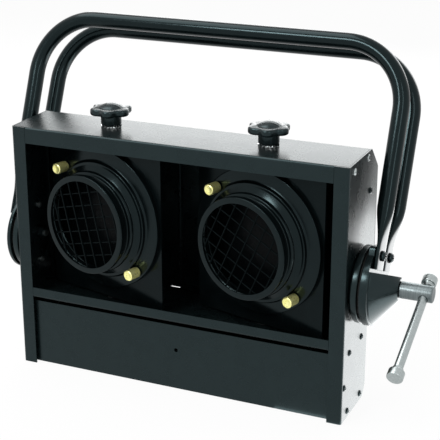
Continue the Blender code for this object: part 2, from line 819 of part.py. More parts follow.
def conical_hub():
    """Lip, lug and cone in one casting, planed flat above the pivot for the tube ends."""
    edge = HUB_LIP_EDGE
    lip = HUB_DIAMETER / 2
    bore = SCREW_SHANK / 2 + GAP
    profile = [
        (0, CONE_TIP), (CONE_TIP_DIAMETER / 2, CONE_TIP), (lip - 2 * edge, LIP_FACE + edge),
        (lip - 2 * edge, LIP_FACE), (lip - edge, LIP_FACE), (lip, LIP_FACE - edge), (lip, HUB_FROM + edge),
        (lip - edge, HUB_FROM), (0, HUB_FROM),
    ]
    hub = turned("hub", profile, DISC_STEPS, "x")
    above = box((LIP_FACE, -HUB_DIAMETER, CONE_FLAT), (CONE_TIP + CUT_PAST, HUB_DIAMETER, HUB_DIAMETER))
    cut(hub, above)
    face = box((LUG_FACE, -HUB_DIAMETER, CONE_FLAT), (LIP_FACE + CUT_PAST, HUB_DIAMETER, HUB_DIAMETER))
    cut(hub, face)
    return with_lug(hub, bore)


def with_lug(hub, bore):
    """Adds the lug to a hub, then bores both for the pivot and the bracket bolts."""
    join(hub, lug())
    low = HUB_FROM - CUT_PAST
    return cut(
        hub, cylinder(bore, low, CONE_TIP + CUT_PAST, "x", steps=SMALL_STEPS),
        *bracket_holes(low, CONE_TIP, BRACKET_BOLT_SHANK / 2 + GAP),
    )


def plain_hub():
    """Flat disc with the same lug, for the left side."""
    edge = HUB_LIP_EDGE
    lip = HUB_DIAMETER / 2
    bore = BOLT_SHANK / 2 + GAP
    face = HUB_FROM + HUB_LIP / 2
    profile = [
        (0, face), (lip - edge, face), (lip, face - edge), (lip, HUB_FROM + edge), (lip - edge, HUB_FROM),
        (0, HUB_FROM),
    ]
    hub = with_lug(turned("hub", profile, DISC_STEPS, "x"), bore)
    shoulder = BOLT_HEAD_ACROSS / 2 + BOLT_SHOULDER
    return cut(hub, cylinder(shoulder, face, CONE_TIP, "x", steps=DISC_STEPS))


def pivot_bolt():
    """Hexagon bolt through the left hub and side plate."""
    face = HUB_FROM + HUB_LIP / 2 + GAP
    inside = INNER_SIDE - BOLT_SHANK
    bolt = cylinder(BOLT_SHANK / 2, inside, face + OVERLAP, "x")
    return join(bolt, hexagon(BOLT_HEAD_ACROSS, face, face + BOLT_HEAD_LENGTH, "x"))


def clamp_nut(across, bore, length):
    end = HALF_WIDTH - SHEET - GAP
    nut = hexagon(across, end - length, end, "x")
    return cut(nut, cylinder(bore / 2 + GAP, end - 2 * length, HOUSING_WIDTH, "x"))


def clamp_screw():
    """Threaded shank with a plain round head, cross drilled for the bar."""
    end = HALF_WIDTH - SHEET - SCREW_NUT_LENGTH - THREAD_PAST_NUT
    head = SCREW_HEAD_FROM
    tip = head + SCREW_HEAD_LENGTH
    radius = SCREW_HEAD / 2
    shank = SCREW_SHANK / 2
    edge = HUB_LIP_EDGE
    profile = [
        (0, tip), (radius - edge, tip), (radius, tip - edge), (radius, head), (shank, head),
        (shank, end + edge), (shank - edge, end), (0, end),
    ]
    screw = turned("screw", profile, ROUND_STEPS, "x")
    hole = cylinder(
        BAR_DIAMETER / 2 + GAP, -SCREW_HEAD, SCREW_HEAD, "y", (head + BAR_PLACE, 0, 0), steps=SMALL_STEPS
    )
    return cut(screw, hole)


def bar_x():
    return SCREW_HEAD_FROM + BAR_PLACE


def bar_ends():
    """Ends of the bar's collars nearest the screw: the upper one rests on the screw's head."""
    upper = SCREW_HEAD / 2 + GAP
    span = BAR_LENGTH - 2 * BAR_CAP_LENGTH - 2 * BAR_COLLAR
    return upper - span, upper


def tommy_bar():
    low, high = bar_ends()
    reach = BAR_COLLAR + BAR_CAP_LENGTH * BAR_SEAT
    return cylinder(BAR_DIAMETER / 2, low - reach, high + reach, "y", (bar_x(), 0, 0), steps=SMALL_STEPS)


def bar_cap(diameter, side):
    """Pressed cap with a narrower collar, bored for the bar's end."""
    low, high = bar_ends()
    start = high if side > 0 else -low
    seat = start + BAR_COLLAR + BAR_CAP_LENGTH * BAR_SEAT + GAP
    bore = BAR_DIAMETER / 2 + GAP
    tip = start + BAR_COLLAR + BAR_CAP_LENGTH
    edge = HUB_LIP_EDGE
    profile = [
        (0, tip), (diameter / 2 - edge, tip), (diameter / 2, tip - edge),
        (diameter / 2, start + BAR_COLLAR + edge), (diameter / 2 - edge, start + BAR_COLLAR),
        (BAR_COLLAR_DIAMETER / 2, start + BAR_COLLAR), (BAR_COLLAR_DIAMETER / 2, start), (bore, start),
        (bore, seat), (0, seat),
    ]
    cap = turned("cap", profile, SMALL_STEPS, "y" if side > 0 else "-y")
    return move_mesh(cap, Matrix.Translation((bar_x(), 0, 0)))


# Yoke

def smooth(t):
    t = min(max(t, 0), 1)
    return t * t * (3 - 2 * t)


def between(low, high, t):
    return low + (high - low) * t


def tube_spread(height):
    """How far a tube's centre line stands from the yoke's middle plane at a height."""
    leaning = between(TUBE_SPREAD_LOW, TUBE_SPREAD_HIGH, (height - ROUND_FROM) / (YOKE_HEIGHT - ROUND_FROM))
    return between(FLAT_SPREAD, leaning, smooth((height - FLAT_TOP) / (ROUND_FROM - FLAT_TOP)))


def hoop_line():
    """Points (x, height) of the right half of a hoop, from its flattened end to the middle."""
    swell = [between(FLAT_TOP, ROUND_FROM, i / 5) for i in range(6)]
    heights = [FLAT_BOTTOM, *swell, between(ROUND_FROM, YOKE_HEIGHT - YOKE_CORNER, 0.5)]
    leg = [(YOKE_HALF_WIDTH, height) for height in heights]
    centre = (YOKE_HALF_WIDTH - YOKE_CORNER, YOKE_HEIGHT - YOKE_CORNER)
    return leg + arc(centre, YOKE_CORNER, 0, 90, 7)


def hoop(side):
    """Bent tube, pressed flat at its ends and drilled there for the bracket bolts."""
    right = hoop_line()
    line = right + [(-x, height) for x, height in reversed(right)]
    curve = bpy.data.curves.new("hoop", "CURVE")
    curve.dimensions = "3D"
    curve.bevel_depth = TUBE_DIAMETER / 2
    curve.bevel_resolution = 4
    curve.use_fill_caps = True
    spline = curve.splines.new("POLY")
    spline.points.add(len(line) - 1)
    for point, (x, height) in zip(spline.points, line):
        point.co = (x, side * tube_spread(height), height, 1)
    guide = bpy.data.objects.new("hoop_line", curve)
    PARTS.objects.link(guide)
    tube = place("hoop", mesh_of_curve(guide))
    for vertex in tube.data.vertices:
        flatten(vertex.co, side)
    holes = bracket_holes(-HOUSING_WIDTH, HOUSING_WIDTH, BRACKET_BOLT_SHANK / 2 + GAP)
    return cut(tube, *holes)


def flatten(point, side):
    """Presses a point of the round tube towards the flat end's section."""
    flat = 1 - smooth((point.z - FLAT_TOP) / (ROUND_FROM - FLAT_TOP))
    if flat == 0:
        return
    leg = math.copysign(YOKE_HALF_WIDTH, point.x)
    middle = side * tube_spread(point.z)
    across = point.y - middle
    thick = between(1, FLAT_THICKNESS / TUBE_DIAMETER, flat)
    wide = between(1, FLAT_WIDTH / TUBE_DIAMETER, flat)
    point.x = leg + (point.x - leg) * thick
    point.y = middle + across * wide


def bracket_bolt():
    """Pan head bolt through a flattened tube end into the lug."""
    face = YOKE_HALF_WIDTH + FLAT_THICKNESS / 2 + GAP
    head = BRACKET_BOLT_HEAD / 2
    shank = BRACKET_BOLT_SHANK / 2
    tip = face + BRACKET_BOLT_HEAD_LENGTH
    edge = HUB_LIP_EDGE
    profile = [
        (0, tip), (head - edge, tip), (head, tip - edge), (head, face), (shank, face),
        (shank, face - BRACKET_BOLT_LENGTH), (0, face - BRACKET_BOLT_LENGTH),
    ]
    return turned("bolt", profile, STUD_STEPS, "x")


# Lamp heads, in the frame of their pan axis: +X across, -Y ahead, +Z up from the lamp's centre

def stud_places():
    return [(-NUT_OFFSET, NUT_OFFSET), (NUT_OFFSET, -NUT_OFFSET)]


def nut_seat():
    """Front of the snoot's flange where a thumb nut bears on it."""
    radius = math.hypot(NUT_OFFSET, NUT_OFFSET)
    inner = BASE_RING_DIAMETER / 2 + FLANGE_EDGE
    outer = FLANGE_DIAMETER / 2 - FLANGE_EDGE
    share = (radius - NUT_DIAMETER / 2 - inner) / (outer - inner)
    return FLANGE_AHEAD - FLANGE_CONE * share


def head_plate():
    """Channel of sheet with the lamp opening, weld nuts for the pan axis and the snoot's studs."""
    half = HEAD_HEIGHT / 2
    line = [(HEAD_BEHIND, -half), (-HEAD_AHEAD, -half), (-HEAD_AHEAD, half), (HEAD_BEHIND, half)]
    plate = bent_sheet("head", line[::-1], "yz", -HEAD_WIDTH / 2, HEAD_WIDTH / 2)
    plan = [
        (HEAD_WIDTH / 2, -HEAD_AHEAD - CUT_PAST), (HEAD_WIDTH / 2, -HEAD_AHEAD + FOLD_RADIUS),
        (HEAD_FLANGE_END / 2, HEAD_BEHIND),
    ]
    plan += [(-x, y) for x, y in reversed(plan)]
    keep_inside(plate, prism("plan", [plan], "xy", -HEAD_HEIGHT, HEAD_HEIGHT))
    cut(plate, cylinder(LAMP_OPENING / 2, 0, HEAD_AHEAD + CUT_PAST, "-y", steps=BIG_STEPS))
    for side in (-1, 1):
        inner = half - SHEET
        ends = sorted((side * (inner - WELD_NUT_LENGTH), side * (inner + OVERLAP)))
        join(plate, hexagon(WELD_NUT_ACROSS, ends[0], ends[1]))
    cut(plate, cylinder(PAN_STUD / 2 + GAP, -half - CUT_PAST, half + CUT_PAST, steps=STUD_STEPS))
    seat = nut_seat()
    for x, z in stud_places():
        stud = cylinder(
            NUT_STUD / 2, HEAD_AHEAD - OVERLAP, seat + NUT_LENGTH - STUD_SHORT, "-y", (x, 0, z), steps=TINY_STEPS
        )
        join(plate, stud)
    return plate


def snoot():
    """Pressed shell: lip, front ring, barrel, bead, stepped base ring and a dished flange."""
    ring = FRONT_RING_DIAMETER / 2
    barrel = BARREL_DIAMETER / 2
    bead = BEAD_DIAMETER / 2
    base = BASE_RING_DIAMETER / 2
    flange = FLANGE_DIAMETER / 2
    edge = FLANGE_EDGE
    ring_back = SNOOT_FRONT - FRONT_RING_LENGTH
    bead_front = BEAD_AHEAD + BEAD_WIDTH / 2
    bead_back = BEAD_AHEAD - BEAD_WIDTH / 2
    profile = [
        (APERTURE_DIAMETER / 2, SNOOT_FRONT), (ring - edge / 2, SNOOT_FRONT), (ring, SNOOT_FRONT - edge / 2),
        (ring, ring_back), (barrel, ring_back - edge), (barrel, bead_front + edge / 2),
        (bead - edge / 2, bead_front), (bead, BEAD_AHEAD), (bead - edge, bead_back),
        (between(bead, base, BASE_SLOPE), BASE_RING_AHEAD), (base - edge, BASE_RING_AHEAD),
        (base, BASE_RING_AHEAD - edge), (base, FLANGE_AHEAD + edge / 2), (base + edge, FLANGE_AHEAD),
        (flange - edge, FLANGE_AHEAD - FLANGE_CONE), (flange, FLANGE_AHEAD - FLANGE_CONE - edge),
        (flange, HEAD_AHEAD + GAP),
    ]
    shell = turned("snoot", profile, BIG_STEPS, "-y", wall=SNOOT_WALL)
    holes = [
        cylinder(NUT_STUD / 2 + GAP, HEAD_AHEAD, SNOOT_FRONT, "-y", (x, 0, z), steps=TINY_STEPS)
        for x, z in stud_places()
    ]
    return cut(shell, *holes)


def grid_place():
    """Distance ahead of the pan axis at which the grid's rim seats behind the front lip."""
    return SNOOT_FRONT - SNOOT_WALL - GAP - GRID_RIM_WIRE / 2


def grid_radius():
    return FRONT_RING_DIAMETER / 2 - SNOOT_WALL - GAP - GRID_RIM_WIRE / 2


def wires(direction, height, shift):
    """Parallel wires across the rim, in one layer, as far out as the aperture shows them."""
    radius = grid_radius()
    reach = APERTURE_DIAMETER / 2 - GRID_WIRE
    count = math.ceil(reach / GRID_PITCH)
    mesh = bpy.data.meshes.new("wires")
    body = bmesh.new()
    for i in range(-count, count + 1):
        offset = (i + shift) * GRID_PITCH
        if abs(offset) > reach:
            continue
        half = math.sqrt(radius ** 2 - offset ** 2)
        made = bmesh.ops.create_cone(
            body, cap_ends=True, segments=4, radius1=GRID_WIRE / 2, radius2=GRID_WIRE / 2, depth=2 * half
        )
        bmesh.ops.rotate(body, verts=made["verts"], matrix=Matrix.Rotation(math.pi / 2, 3, "X"))
        bmesh.ops.translate(body, verts=made["verts"], vec=(offset, 0, height))
    bmesh.ops.rotate(body, verts=body.verts, matrix=Matrix.Rotation(direction, 3, "Z"))
    body.to_mesh(mesh)
    body.free()
    return place("wires", mesh)


def wire_grid(turn, shifts):
    """Two layers of straight wires, welded where they cross and to a round rim."""
    bpy.ops.mesh.primitive_torus_add(
        major_segments=BIG_STEPS, minor_segments=6, major_radius=grid_radius(), minor_radius=GRID_RIM_WIRE / 2
    )
    rim = bpy.context.active_object
    layer = GRID_WIRE * GRID_LAYER
    join(rim, wires(turn, layer, shifts[0]))
    join(rim, wires(turn + math.pi / 2, -layer, shifts[1]))
    made = place("grid", rim.data)
    bpy.data.objects.remove(rim, do_unlink=True)
    move_mesh(made, Matrix.Translation((0, -grid_place(), 0)) @ AXES["-y"])
    return made


def lamp_front():
    """Front of the lamp's rim, just behind the plate."""
    return HEAD_AHEAD - SHEET - GAP


def lamp():
    """Sealed beam lamp: domed lens, rim, dished reflector and a neck open for its terminals."""
    front = lamp_front()
    rim = LAMP_RIM_DIAMETER / 2
    lens = LAMP_LENS_DIAMETER / 2
    back = front - LAMP_RIM_LENGTH
    neck = LAMP_NECK_DIAMETER / 2
    neck_top = front - LAMP_DEPTH
    neck_end = front - LAMP_DEPTH - LAMP_NECK_LENGTH
    dome = [(lens * i / 2, front + LAMP_DOME * (1 - (i / 2) ** 2)) for i in range(3)]
    bowl = []
    for i in range(4):
        depth = i / 3
        bowl.append((between(lens, neck, depth ** LAMP_BOWL_CURVE), between(back, neck_top, depth)))
    wall = LAMP_WALL
    inner_bowl = [(radius - wall, height) for radius, height in bowl]
    profile = [
        *dome, (rim, front - LAMP_RIM_STEP), (rim, front - LAMP_RIM_LENGTH), *bowl, (neck, neck_end),
        (LAMP_VENT / 2, neck_end), (LAMP_VENT / 2, neck_top), *reversed(inner_bowl),
        (lens - wall, front - wall), (0, front + LAMP_DOME - wall),
    ]
    return turned("lamp", profile, LAMP_STEPS, "-y")


def lamp_cup():
    """Ring that wraps the lamp's rim and holds it against the plate."""
    front = lamp_front()
    inner = LAMP_RIM_DIAMETER / 2 + GAP
    outer = inner + CUP_WALL
    lip = LAMP_RIM_DIAMETER / 2 - CUP_LIP
    back = front - LAMP_RIM_LENGTH - GAP
    profile = [
        (inner, front), (outer, front), (outer, back - CUP_WALL), (lip, back - CUP_WALL), (lip, back),
        (inner, back),
    ]
    return turned("cup", profile, LAMP_STEPS, "-y")


def lamp_socket():
    """Ceramic terminal block on the lamp's neck, with two screw terminals."""
    front = lamp_front() - LAMP_DEPTH - LAMP_NECK_LENGTH - GAP
    back = front - SOCKET_LENGTH
    outline = rounded_rectangle(
        (-SOCKET_WIDTH / 2, -SOCKET_HEIGHT / 2), (SOCKET_WIDTH / 2, SOCKET_HEIGHT / 2), SOCKET_CORNER, 2
    )
    block = prism("socket", [outline], "xz", -front, -back)
    for side in (-1, 1):
        screw = cylinder(
            SOCKET_SCREW / 2, back - SOCKET_SCREW_LENGTH, back + OVERLAP, "-y", (side * SOCKET_WIDTH / 4, 0, 0), STUD_STEPS
        )
        join(block, screw)
    return block


def thumb_nut():
    """Long knurled nut with a dimpled end, in the frame of its stud with +Z ahead."""
    radius = NUT_DIAMETER / 2
    bore = NUT_STUD / 2 + GAP
    edge = NUT_EDGE
    profile = [
        (0, NUT_LENGTH - edge), (NUT_RECESS / 2, NUT_LENGTH), (radius - edge, NUT_LENGTH),
        (radius, NUT_LENGTH - edge), (radius, edge), (radius - edge, 0), (bore, 0),
        (bore, NUT_LENGTH - STUD_SHORT + GAP), (0, NUT_LENGTH - STUD_SHORT + GAP),
    ]
    return turned("nut", profile, NUT_STEPS, "-y")


def star_outline(radius, depth, lobes, per_lobe):
    """Rounded lobes: a wave round a circle."""
    count = lobes * per_lobe
    points = []
    for i in range(count):
        angle = 2 * math.pi * i / count
        swing = (1 + math.cos(lobes * angle)) / 2
        reach = radius - depth * (1 - swing) ** KNOB_LOBE_CURVE
        points.append((reach * math.cos(angle), reach * math.sin(angle)))
    return points


def knob_base():
    """Height of the knob's underside, above the lamp's centre."""
    return HOUSING_HEIGHT - LAMP_HEIGHT + 2 * GAP + LOCK_WASHER_THICKNESS


def star_knob():
    """Lobed head with a domed top on a round hub, moulded on its stud."""
    base = knob_base()
    head = base + KNOB_HUB
    outline = star_outline(KNOB_DIAMETER / 2, KNOB_LOBE_DEPTH, KNOB_LOBES, 6)
    knob = prism("knob", [outline], "xy", head, head + KNOB_HEAD, edge=KNOB_EDGE)
    top = head + KNOB_HEAD - OVERLAP
    dome = KNOB_DOME_DIAMETER / 2
    rise = [(dome * math.sin(a), top + KNOB_DOME * math.cos(a)) for a in (math.pi * i / 6 for i in range(4))]
    cap = turned("dome", [*rise, (dome, top - KNOB_HEAD / 3), (0, top - KNOB_HEAD / 3)], ROUND_STEPS)
    hub = turned("hub", [
        (0, head + OVERLAP), (KNOB_HUB_DIAMETER / 2, head + OVERLAP),
        (KNOB_HUB_DIAMETER / 2, base + KNOB_HUB_EDGE), (KNOB_HUB_DIAMETER / 2 - KNOB_HUB_EDGE, base), (0, base),
    ], ROUND_STEPS)
    stud_end = HEAD_HEIGHT / 2 - SHEET - WELD_NUT_LENGTH
    stud = cylinder(PAN_STUD / 2, stud_end, base + OVERLAP, steps=STUD_STEPS)
    return join(knob, cap, hub, stud)


def lock_washer():
    """Serrated washer under the knob."""
    low = HOUSING_HEIGHT - LAMP_HEIGHT + GAP
    rim = star_outline(LOCK_WASHER_DIAMETER / 2, LOCK_WASHER_TOOTH, LOCK_WASHER_TEETH, 2)
    hole = circle((0, 0), PAN_STUD / 2 + GAP, STUD_STEPS)
    return prism("lock_washer", [rim, hole], "xy", low, low + LOCK_WASHER_THICKNESS)


def pan_washer(side):
    """Washer between the head and the sheet above or below it."""
    half = HEAD_HEIGHT / 2 + GAP
    ends = sorted((side * half, side * (half + PAN_WASHER_THICKNESS)))
    return washer(PAN_STUD / 2 + GAP, PAN_WASHER_DIAMETER / 2, ends[0], ends[1], "z", STUD_STEPS)


def pan_bolt():
    """Bolt from under the shelf into the head's lower weld nut."""
    under = SHELF_HEIGHT - LAMP_HEIGHT - GAP
    end = -HEAD_HEIGHT / 2 + SHEET + WELD_NUT_LENGTH
    bolt = cylinder(PAN_STUD / 2, under - OVERLAP, end, steps=STUD_STEPS)
    return join(bolt, hexagon(PAN_BOLT_HEAD, under - PAN_BOLT_HEAD_LENGTH, under))


# Assembly

def build_housing():
    finish(side_plate(-1, BOLT_SHANK), "side_plate_left", BLACK)
    finish(side_plate(1, SCREW_SHANK), "side_plate_right", BLACK)
    finish(top_cover(), "top_cover", BLACK)
    finish(shelf(), "shelf", BLACK)
    finish(front_panel(), "front_panel", BLACK)
    finish(bottom_tray(), "bottom_tray", BLACK)
    finish(wiring_cover(), "wiring_cover", BLACK)
    finish(rear_cover(), "rear_cover", BLACK)
    finish(terminal_block(), "terminal_block", CERAMIC)
    finish(earth_stud(), "earth_stud", BRASS)
    finish(cable_gland(), "cable_gland", PLASTIC)
    finish(gland_nut(), "gland_nut", PLASTIC)


def build_pivots():
    right = axis_empty("pivot_axis", PIVOT)
    finish(friction_disc(SCREW_SHANK + 2 * GAP), "friction_disc_right", BLACK, right)
    finish(clamp_nut(SCREW_NUT_ACROSS, SCREW_SHANK, SCREW_NUT_LENGTH), "clamp_nut", STEEL, right)
    finish(mirror(friction_disc(BOLT_SHANK + 2 * GAP)), "friction_disc_left", BLACK, right)
    finish(mirror(clamp_nut(BOLT_HEAD_ACROSS, BOLT_SHANK, BOLT_SHANK * NUT_LENGTH_SHARE)), "pivot_nut_left", STEEL, right)
    finish(mirror(pivot_bolt()), "pivot_bolt_left", STEEL, right)


def build_yoke():
    axis = axis_empty("yoke_axis", PIVOT, (-YOKE_LEAN, 0, 0))
    finish(hoop(-1), "hoop_front", BLACK, axis)
    finish(hoop(1), "hoop_rear", BLACK, axis)
    finish(conical_hub(), "hub_right", BLACK, axis)
    finish(mirror(plain_hub()), "hub_left", BLACK, axis)
    finish(friction_washer(SCREW_SHANK + 2 * GAP), "friction_washer_right", FIBRE, axis)
    finish(mirror(friction_washer(BOLT_SHANK + 2 * GAP)), "friction_washer_left", FIBRE, axis)
    for side, word in ((-1, "left"), (1, "right")):
        for row, where in ((-1, "front"), (1, "rear")):
            bolt = bracket_bolt() if side > 0 else mirror(bracket_bolt())
            finish(bolt, f"bracket_bolt_{word}_{where}", STEEL, axis)
            bolt.location = (0, row * FLAT_SPREAD, BRACKET_BOLT_HEIGHT)


def build_clamp():
    axis = axis_empty("clamp_axis", PIVOT, (BAR_TILT, 0, 0))
    finish(clamp_screw(), "clamp_screw", STEEL, axis)
    finish(tommy_bar(), "tommy_bar", STEEL, axis)
    finish(bar_cap(BAR_UPPER_CAP, 1), "tommy_cap_upper", STEEL, axis)
    finish(bar_cap(BAR_LOWER_CAP, -1), "tommy_cap_lower", STEEL, axis)


def build_head(word, place_xy, grid_turn, grid_shifts):
    axis = axis_empty("pan_axis_" + word, (*place_xy, LAMP_HEIGHT), (0, 0, -REST_PAN))
    finish(head_plate(), "head_plate_" + word, BLACK, axis)
    finish(snoot(), "snoot_" + word, BLACK, axis)
    finish(wire_grid(grid_turn, grid_shifts), "wire_grid_" + word, BLACK, axis)
    finish(lamp(), "lamp_" + word, GLASS, axis)
    finish(lamp_cup(), "lamp_cup_" + word, STEEL, axis)
    finish(lamp_socket(), "lamp_socket_" + word, CERAMIC, axis)
    finish(star_knob(), "star_knob_" + word, PLASTIC, axis)
    finish(lock_washer(), "lock_washer_" + word, STEEL, axis)
    finish(pan_bolt(), "pan_bolt_" + word, STEEL, axis)
    finish(pan_washer(1), "pan_washer_upper_" + word, FIBRE, axis)
    finish(pan_washer(-1), "pan_washer_lower_" + word, FIBRE, axis)
    for (x, z), where in zip(stud_places(), ("upper", "lower")):
        nut = finish(thumb_nut(), f"thumb_nut_{word}_{where}", BRASS, axis)
        nut.location = (x, -nut_seat() - GAP, z)


PARTS = clear_scene()
BLACK = finish_of("black_powder_coat", (0.022, 0.027, 0.028), 0.42, 0.0)
STEEL = finish_of("bright_steel", (0.62, 0.64, 0.64), 0.30, 1.0)
BRASS = finish_of("brass", (0.86, 0.78, 0.42), 0.30, 1.0)
PLASTIC = finish_of("black_plastic", (0.03, 0.035, 0.036), 0.45, 0.0)
CERAMIC = finish_of("ceramic", (0.80, 0.78, 0.72), 0.50, 0.0)
FIBRE = finish_of("fibre_washer", (0.05, 0.05, 0.05), 0.80, 0.0)
GLASS = finish_of("lamp_glass", (0.30, 0.32, 0.33), 0.10, 0.0)

build_housing()
build_pivots()
build_yoke()
build_clamp()
build_head("left", pan_places()[0], GRID_TURN_LEFT, GRID_SHIFT_LEFT)
build_head("right", pan_places()[1], GRID_TURN_RIGHT, GRID_SHIFT_RIGHT)
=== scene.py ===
"""Looks of the audience blinder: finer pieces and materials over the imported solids."""

import math

import bmesh
import bpy
from mathutils import Euler, Matrix, Vector


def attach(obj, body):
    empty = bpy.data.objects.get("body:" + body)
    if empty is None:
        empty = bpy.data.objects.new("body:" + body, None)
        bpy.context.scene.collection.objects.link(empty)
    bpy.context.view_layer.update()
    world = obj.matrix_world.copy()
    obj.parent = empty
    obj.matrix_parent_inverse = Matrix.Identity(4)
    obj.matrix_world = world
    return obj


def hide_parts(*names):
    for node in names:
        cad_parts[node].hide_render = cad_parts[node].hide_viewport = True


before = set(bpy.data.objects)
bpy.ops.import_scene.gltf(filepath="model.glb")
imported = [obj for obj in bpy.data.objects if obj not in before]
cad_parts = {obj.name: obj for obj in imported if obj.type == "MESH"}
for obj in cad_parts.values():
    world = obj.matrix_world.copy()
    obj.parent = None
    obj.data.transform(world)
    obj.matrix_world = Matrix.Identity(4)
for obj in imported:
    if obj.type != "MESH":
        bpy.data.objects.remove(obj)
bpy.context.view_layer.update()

# Clearance, and how far a cutter runs past what it cuts
GAP = 0.0003
CUT_PAST = 0.004

# Housing
FRONT = -0.0385
HALF_WIDTH = 0.185
HOUSING_HEIGHT = 0.270
SHEET = 0.0015

# Side screws, as distances behind the front and heights above the base. Each recess is turned
# on from the one before by the same angle in radians
SIDE_SCREWS = [
    (0.0152, 0.2621), (0.0580, 0.2641), (0.0688, 0.2275), (0.0587, 0.0731), (0.0203, 0.0713),
    (0.0065, 0.0383), (0.0604, 0.0073), (0.0194, 0.0069),
]
SIDE_SCREW_HEAD = 0.0068
SIDE_SCREW_HEIGHT = 0.0019
SIDE_SCREW_TURN = 0.7
# The two upper side screws get plated steel where the rest are black, as a painted highlight for their
# glints
STEEL_GLINT_SCREWS = (0, 1)

# Domed screw head with a cross recess: all but the edge are shares of its radius or height
PAN_HEAD_DOME = [(0.45, 0.94), (0.8, 0.70), (1, 0.25)]
PAN_HEAD_EDGE = 0.0003
RECESS_ARM = 0.62
RECESS_WIDTH = 0.13
RECESS_FLOOR = 0.45

# Pivot of the yoke
PIVOT = Vector((0, 0.0045, 0.1383))
YOKE_LEAN = math.radians(23.2)
DISC_FROM = 0.1853
DISC_BOSS = 0.0028
DISC_BOSS_DIAMETER = 0.068
DISC_DIAMETER = 0.0788
DISC_FACE = 0.1943
DISC_EDGE = 0.0011
LEFT_DISC_BORE = 0.0046
HUB_FROM = 0.1969
HUB_DIAMETER = 0.081
LIP_FACE = 0.2051
LIP_EDGE = 0.0012
CONE_TIP = 0.2275
CONE_TIP_DIAMETER = 0.022
CONE_FLAT = 0.012
CONE_EDGE = 0.0010
BORE_REACH = 0.4
LUG_FACE = 0.2039
LUG_TOP = 0.038
LUG_HALF_WIDTH = 0.029
LUG_CORNER = 0.004
PLAIN_HUB_FACE = 0.2010
PLAIN_HUB_EDGE = 0.0012

# Screws of the friction discs: the first one's angle is in degrees, the nut's width in screw radii
# and its heights in tip lengths
DISC_SCREW_CIRCLE = 0.032
DISC_SCREW_COUNT = 6
DISC_SCREW_FIRST = 30
DISC_SCREW_DIAMETER = 0.004
DISC_SCREW_TIP = 0.0026
DISC_NUT_WIDTH = 1.7
DISC_NUT_RIM = 0.55
DISC_NUT_TOP = 0.6
DISC_NUT_EDGE = 0.0002

# Clamp screw and its sliding bar
SCREW_SHANK = 0.012
SCREW_HEAD = 0.017
SCREW_HEAD_FROM = 0.2278
SCREW_HEAD_LENGTH = 0.0332
SCREW_TIP_INSIDE = 0.1725
SCREW_EDGE = 0.0014
SCREW_HOLE_REACH = 0.02
BAR_DIAMETER = 0.009
BAR_X = 0.2525
BAR_TILT = math.radians(25.3)
BAR_UPPER = 0.0088
BAR_LOWER = -0.0971
BAR_EDGE = 0.0005
BAR_COLLAR = 0.0034
BAR_COLLAR_DIAMETER = 0.0108
BAR_CAP_LENGTH = 0.009
BAR_CAP_WALL = 0.003
BAR_CAP_EDGE = 0.0015
BAR_SHARE_IN_CAP = 0.6
BAR_UPPER_CAP = 0.015
BAR_LOWER_CAP = 0.016

# Yoke of two bent tubes
TUBE_DIAMETER = 0.017
YOKE_HALF_WIDTH = 0.2063
YOKE_HEIGHT = 0.2364
YOKE_CORNER = 0.0635
TUBE_SPREAD_LOW = 0.0225
TUBE_SPREAD_HIGH = 0.0244
FLAT_SPREAD = 0.0153
FLAT_BOTTOM = 0.0155
FLAT_TOP = 0.0375
LEAN_FROM = 0.0615
ROUND_FROM = 0.078
FLAT_WIDTH = 0.0268
FLAT_THICKNESS = 0.0042
BRACKET_BOLT_HEIGHT = 0.0295
BRACKET_BOLT_HEAD = 0.0105
BRACKET_BOLT_HEAD_LENGTH = 0.0038
BRACKET_BOLT_SHANK = 0.006
BRACKET_BOLT_GRIP = 0.0095

# Section of a bent tube: 1 makes an ellipse, and a smaller power a squarer form
ROUND_POWER = 1.0
FLAT_POWER = 0.42
TUBE_SIDES = 40
FLAT_STEPS = 3
CHANGE_STEPS = 14
LEG_STEPS = 5
CORNER_STEPS = 24

# Lamp heads
PAN_SPACING = 0.176
PAN_Y = 0.001
LAMP_HEIGHT = 0.1745
REST_PAN = math.radians(14.0)
HEAD_AHEAD = 0.014
PLATE_BACK = 0.0122

# Snoot
SNOOT_WALL = 0.0012
SNOOT_EDGE = 0.0011
SNOOT_FRONT = 0.0475
APERTURE_DIAMETER = 0.094
FRONT_RING_DIAMETER = 0.1064
FRONT_RING_LENGTH = 0.0058
BARREL_DIAMETER = 0.1010
BEAD_DIAMETER = 0.1092
BEAD_AHEAD = 0.0317
BEAD_WIDTH = 0.0052
BEAD_SLOPE_SHARE = 0.6
BASE_RING_DIAMETER = 0.1250
BASE_RING_AHEAD = 0.0256
FLANGE_DIAMETER = 0.1528
FLANGE_AHEAD = 0.0203
FLANGE_CONE = 0.0011
FLANGE_EDGE = 0.0018

# Thumb nuts: the end's slopes are in chamfers, and its dimple's radii in nut radii
NUT_OFFSET = 0.0487
NUT_SEAT = 0.02043
NUT_DIAMETER = 0.0115
NUT_LENGTH = 0.0145
NUT_FLUTES = 28
NUT_FLUTE_DEPTH = 0.0001
NUT_CHAMFER = 0.0008
NUT_SLOPES = (0.6, 1.4)
NUT_DIMPLE_DEPTHS = (0.0004, 0.0011)
NUT_DIMPLE_RADII = (0.55, 0.3)

# Wire grid
GRID_PITCH = 0.0134
GRID_WIRE = 0.0015
GRID_RIM_WIRE = 0.0026
GRID_AHEAD = 0.0447
GRID_RADIUS = 0.0504
GRID_LAYER = 0.4
GRID_TURNS = {"left": math.radians(15.0), "right": math.radians(-25.0)}
GRID_SHIFTS = {"left": (0.23, 0.50), "right": (0.15, -0.40)}
GRID_RIM_SIDES = 12
GRID_WIRE_SIDES = 10

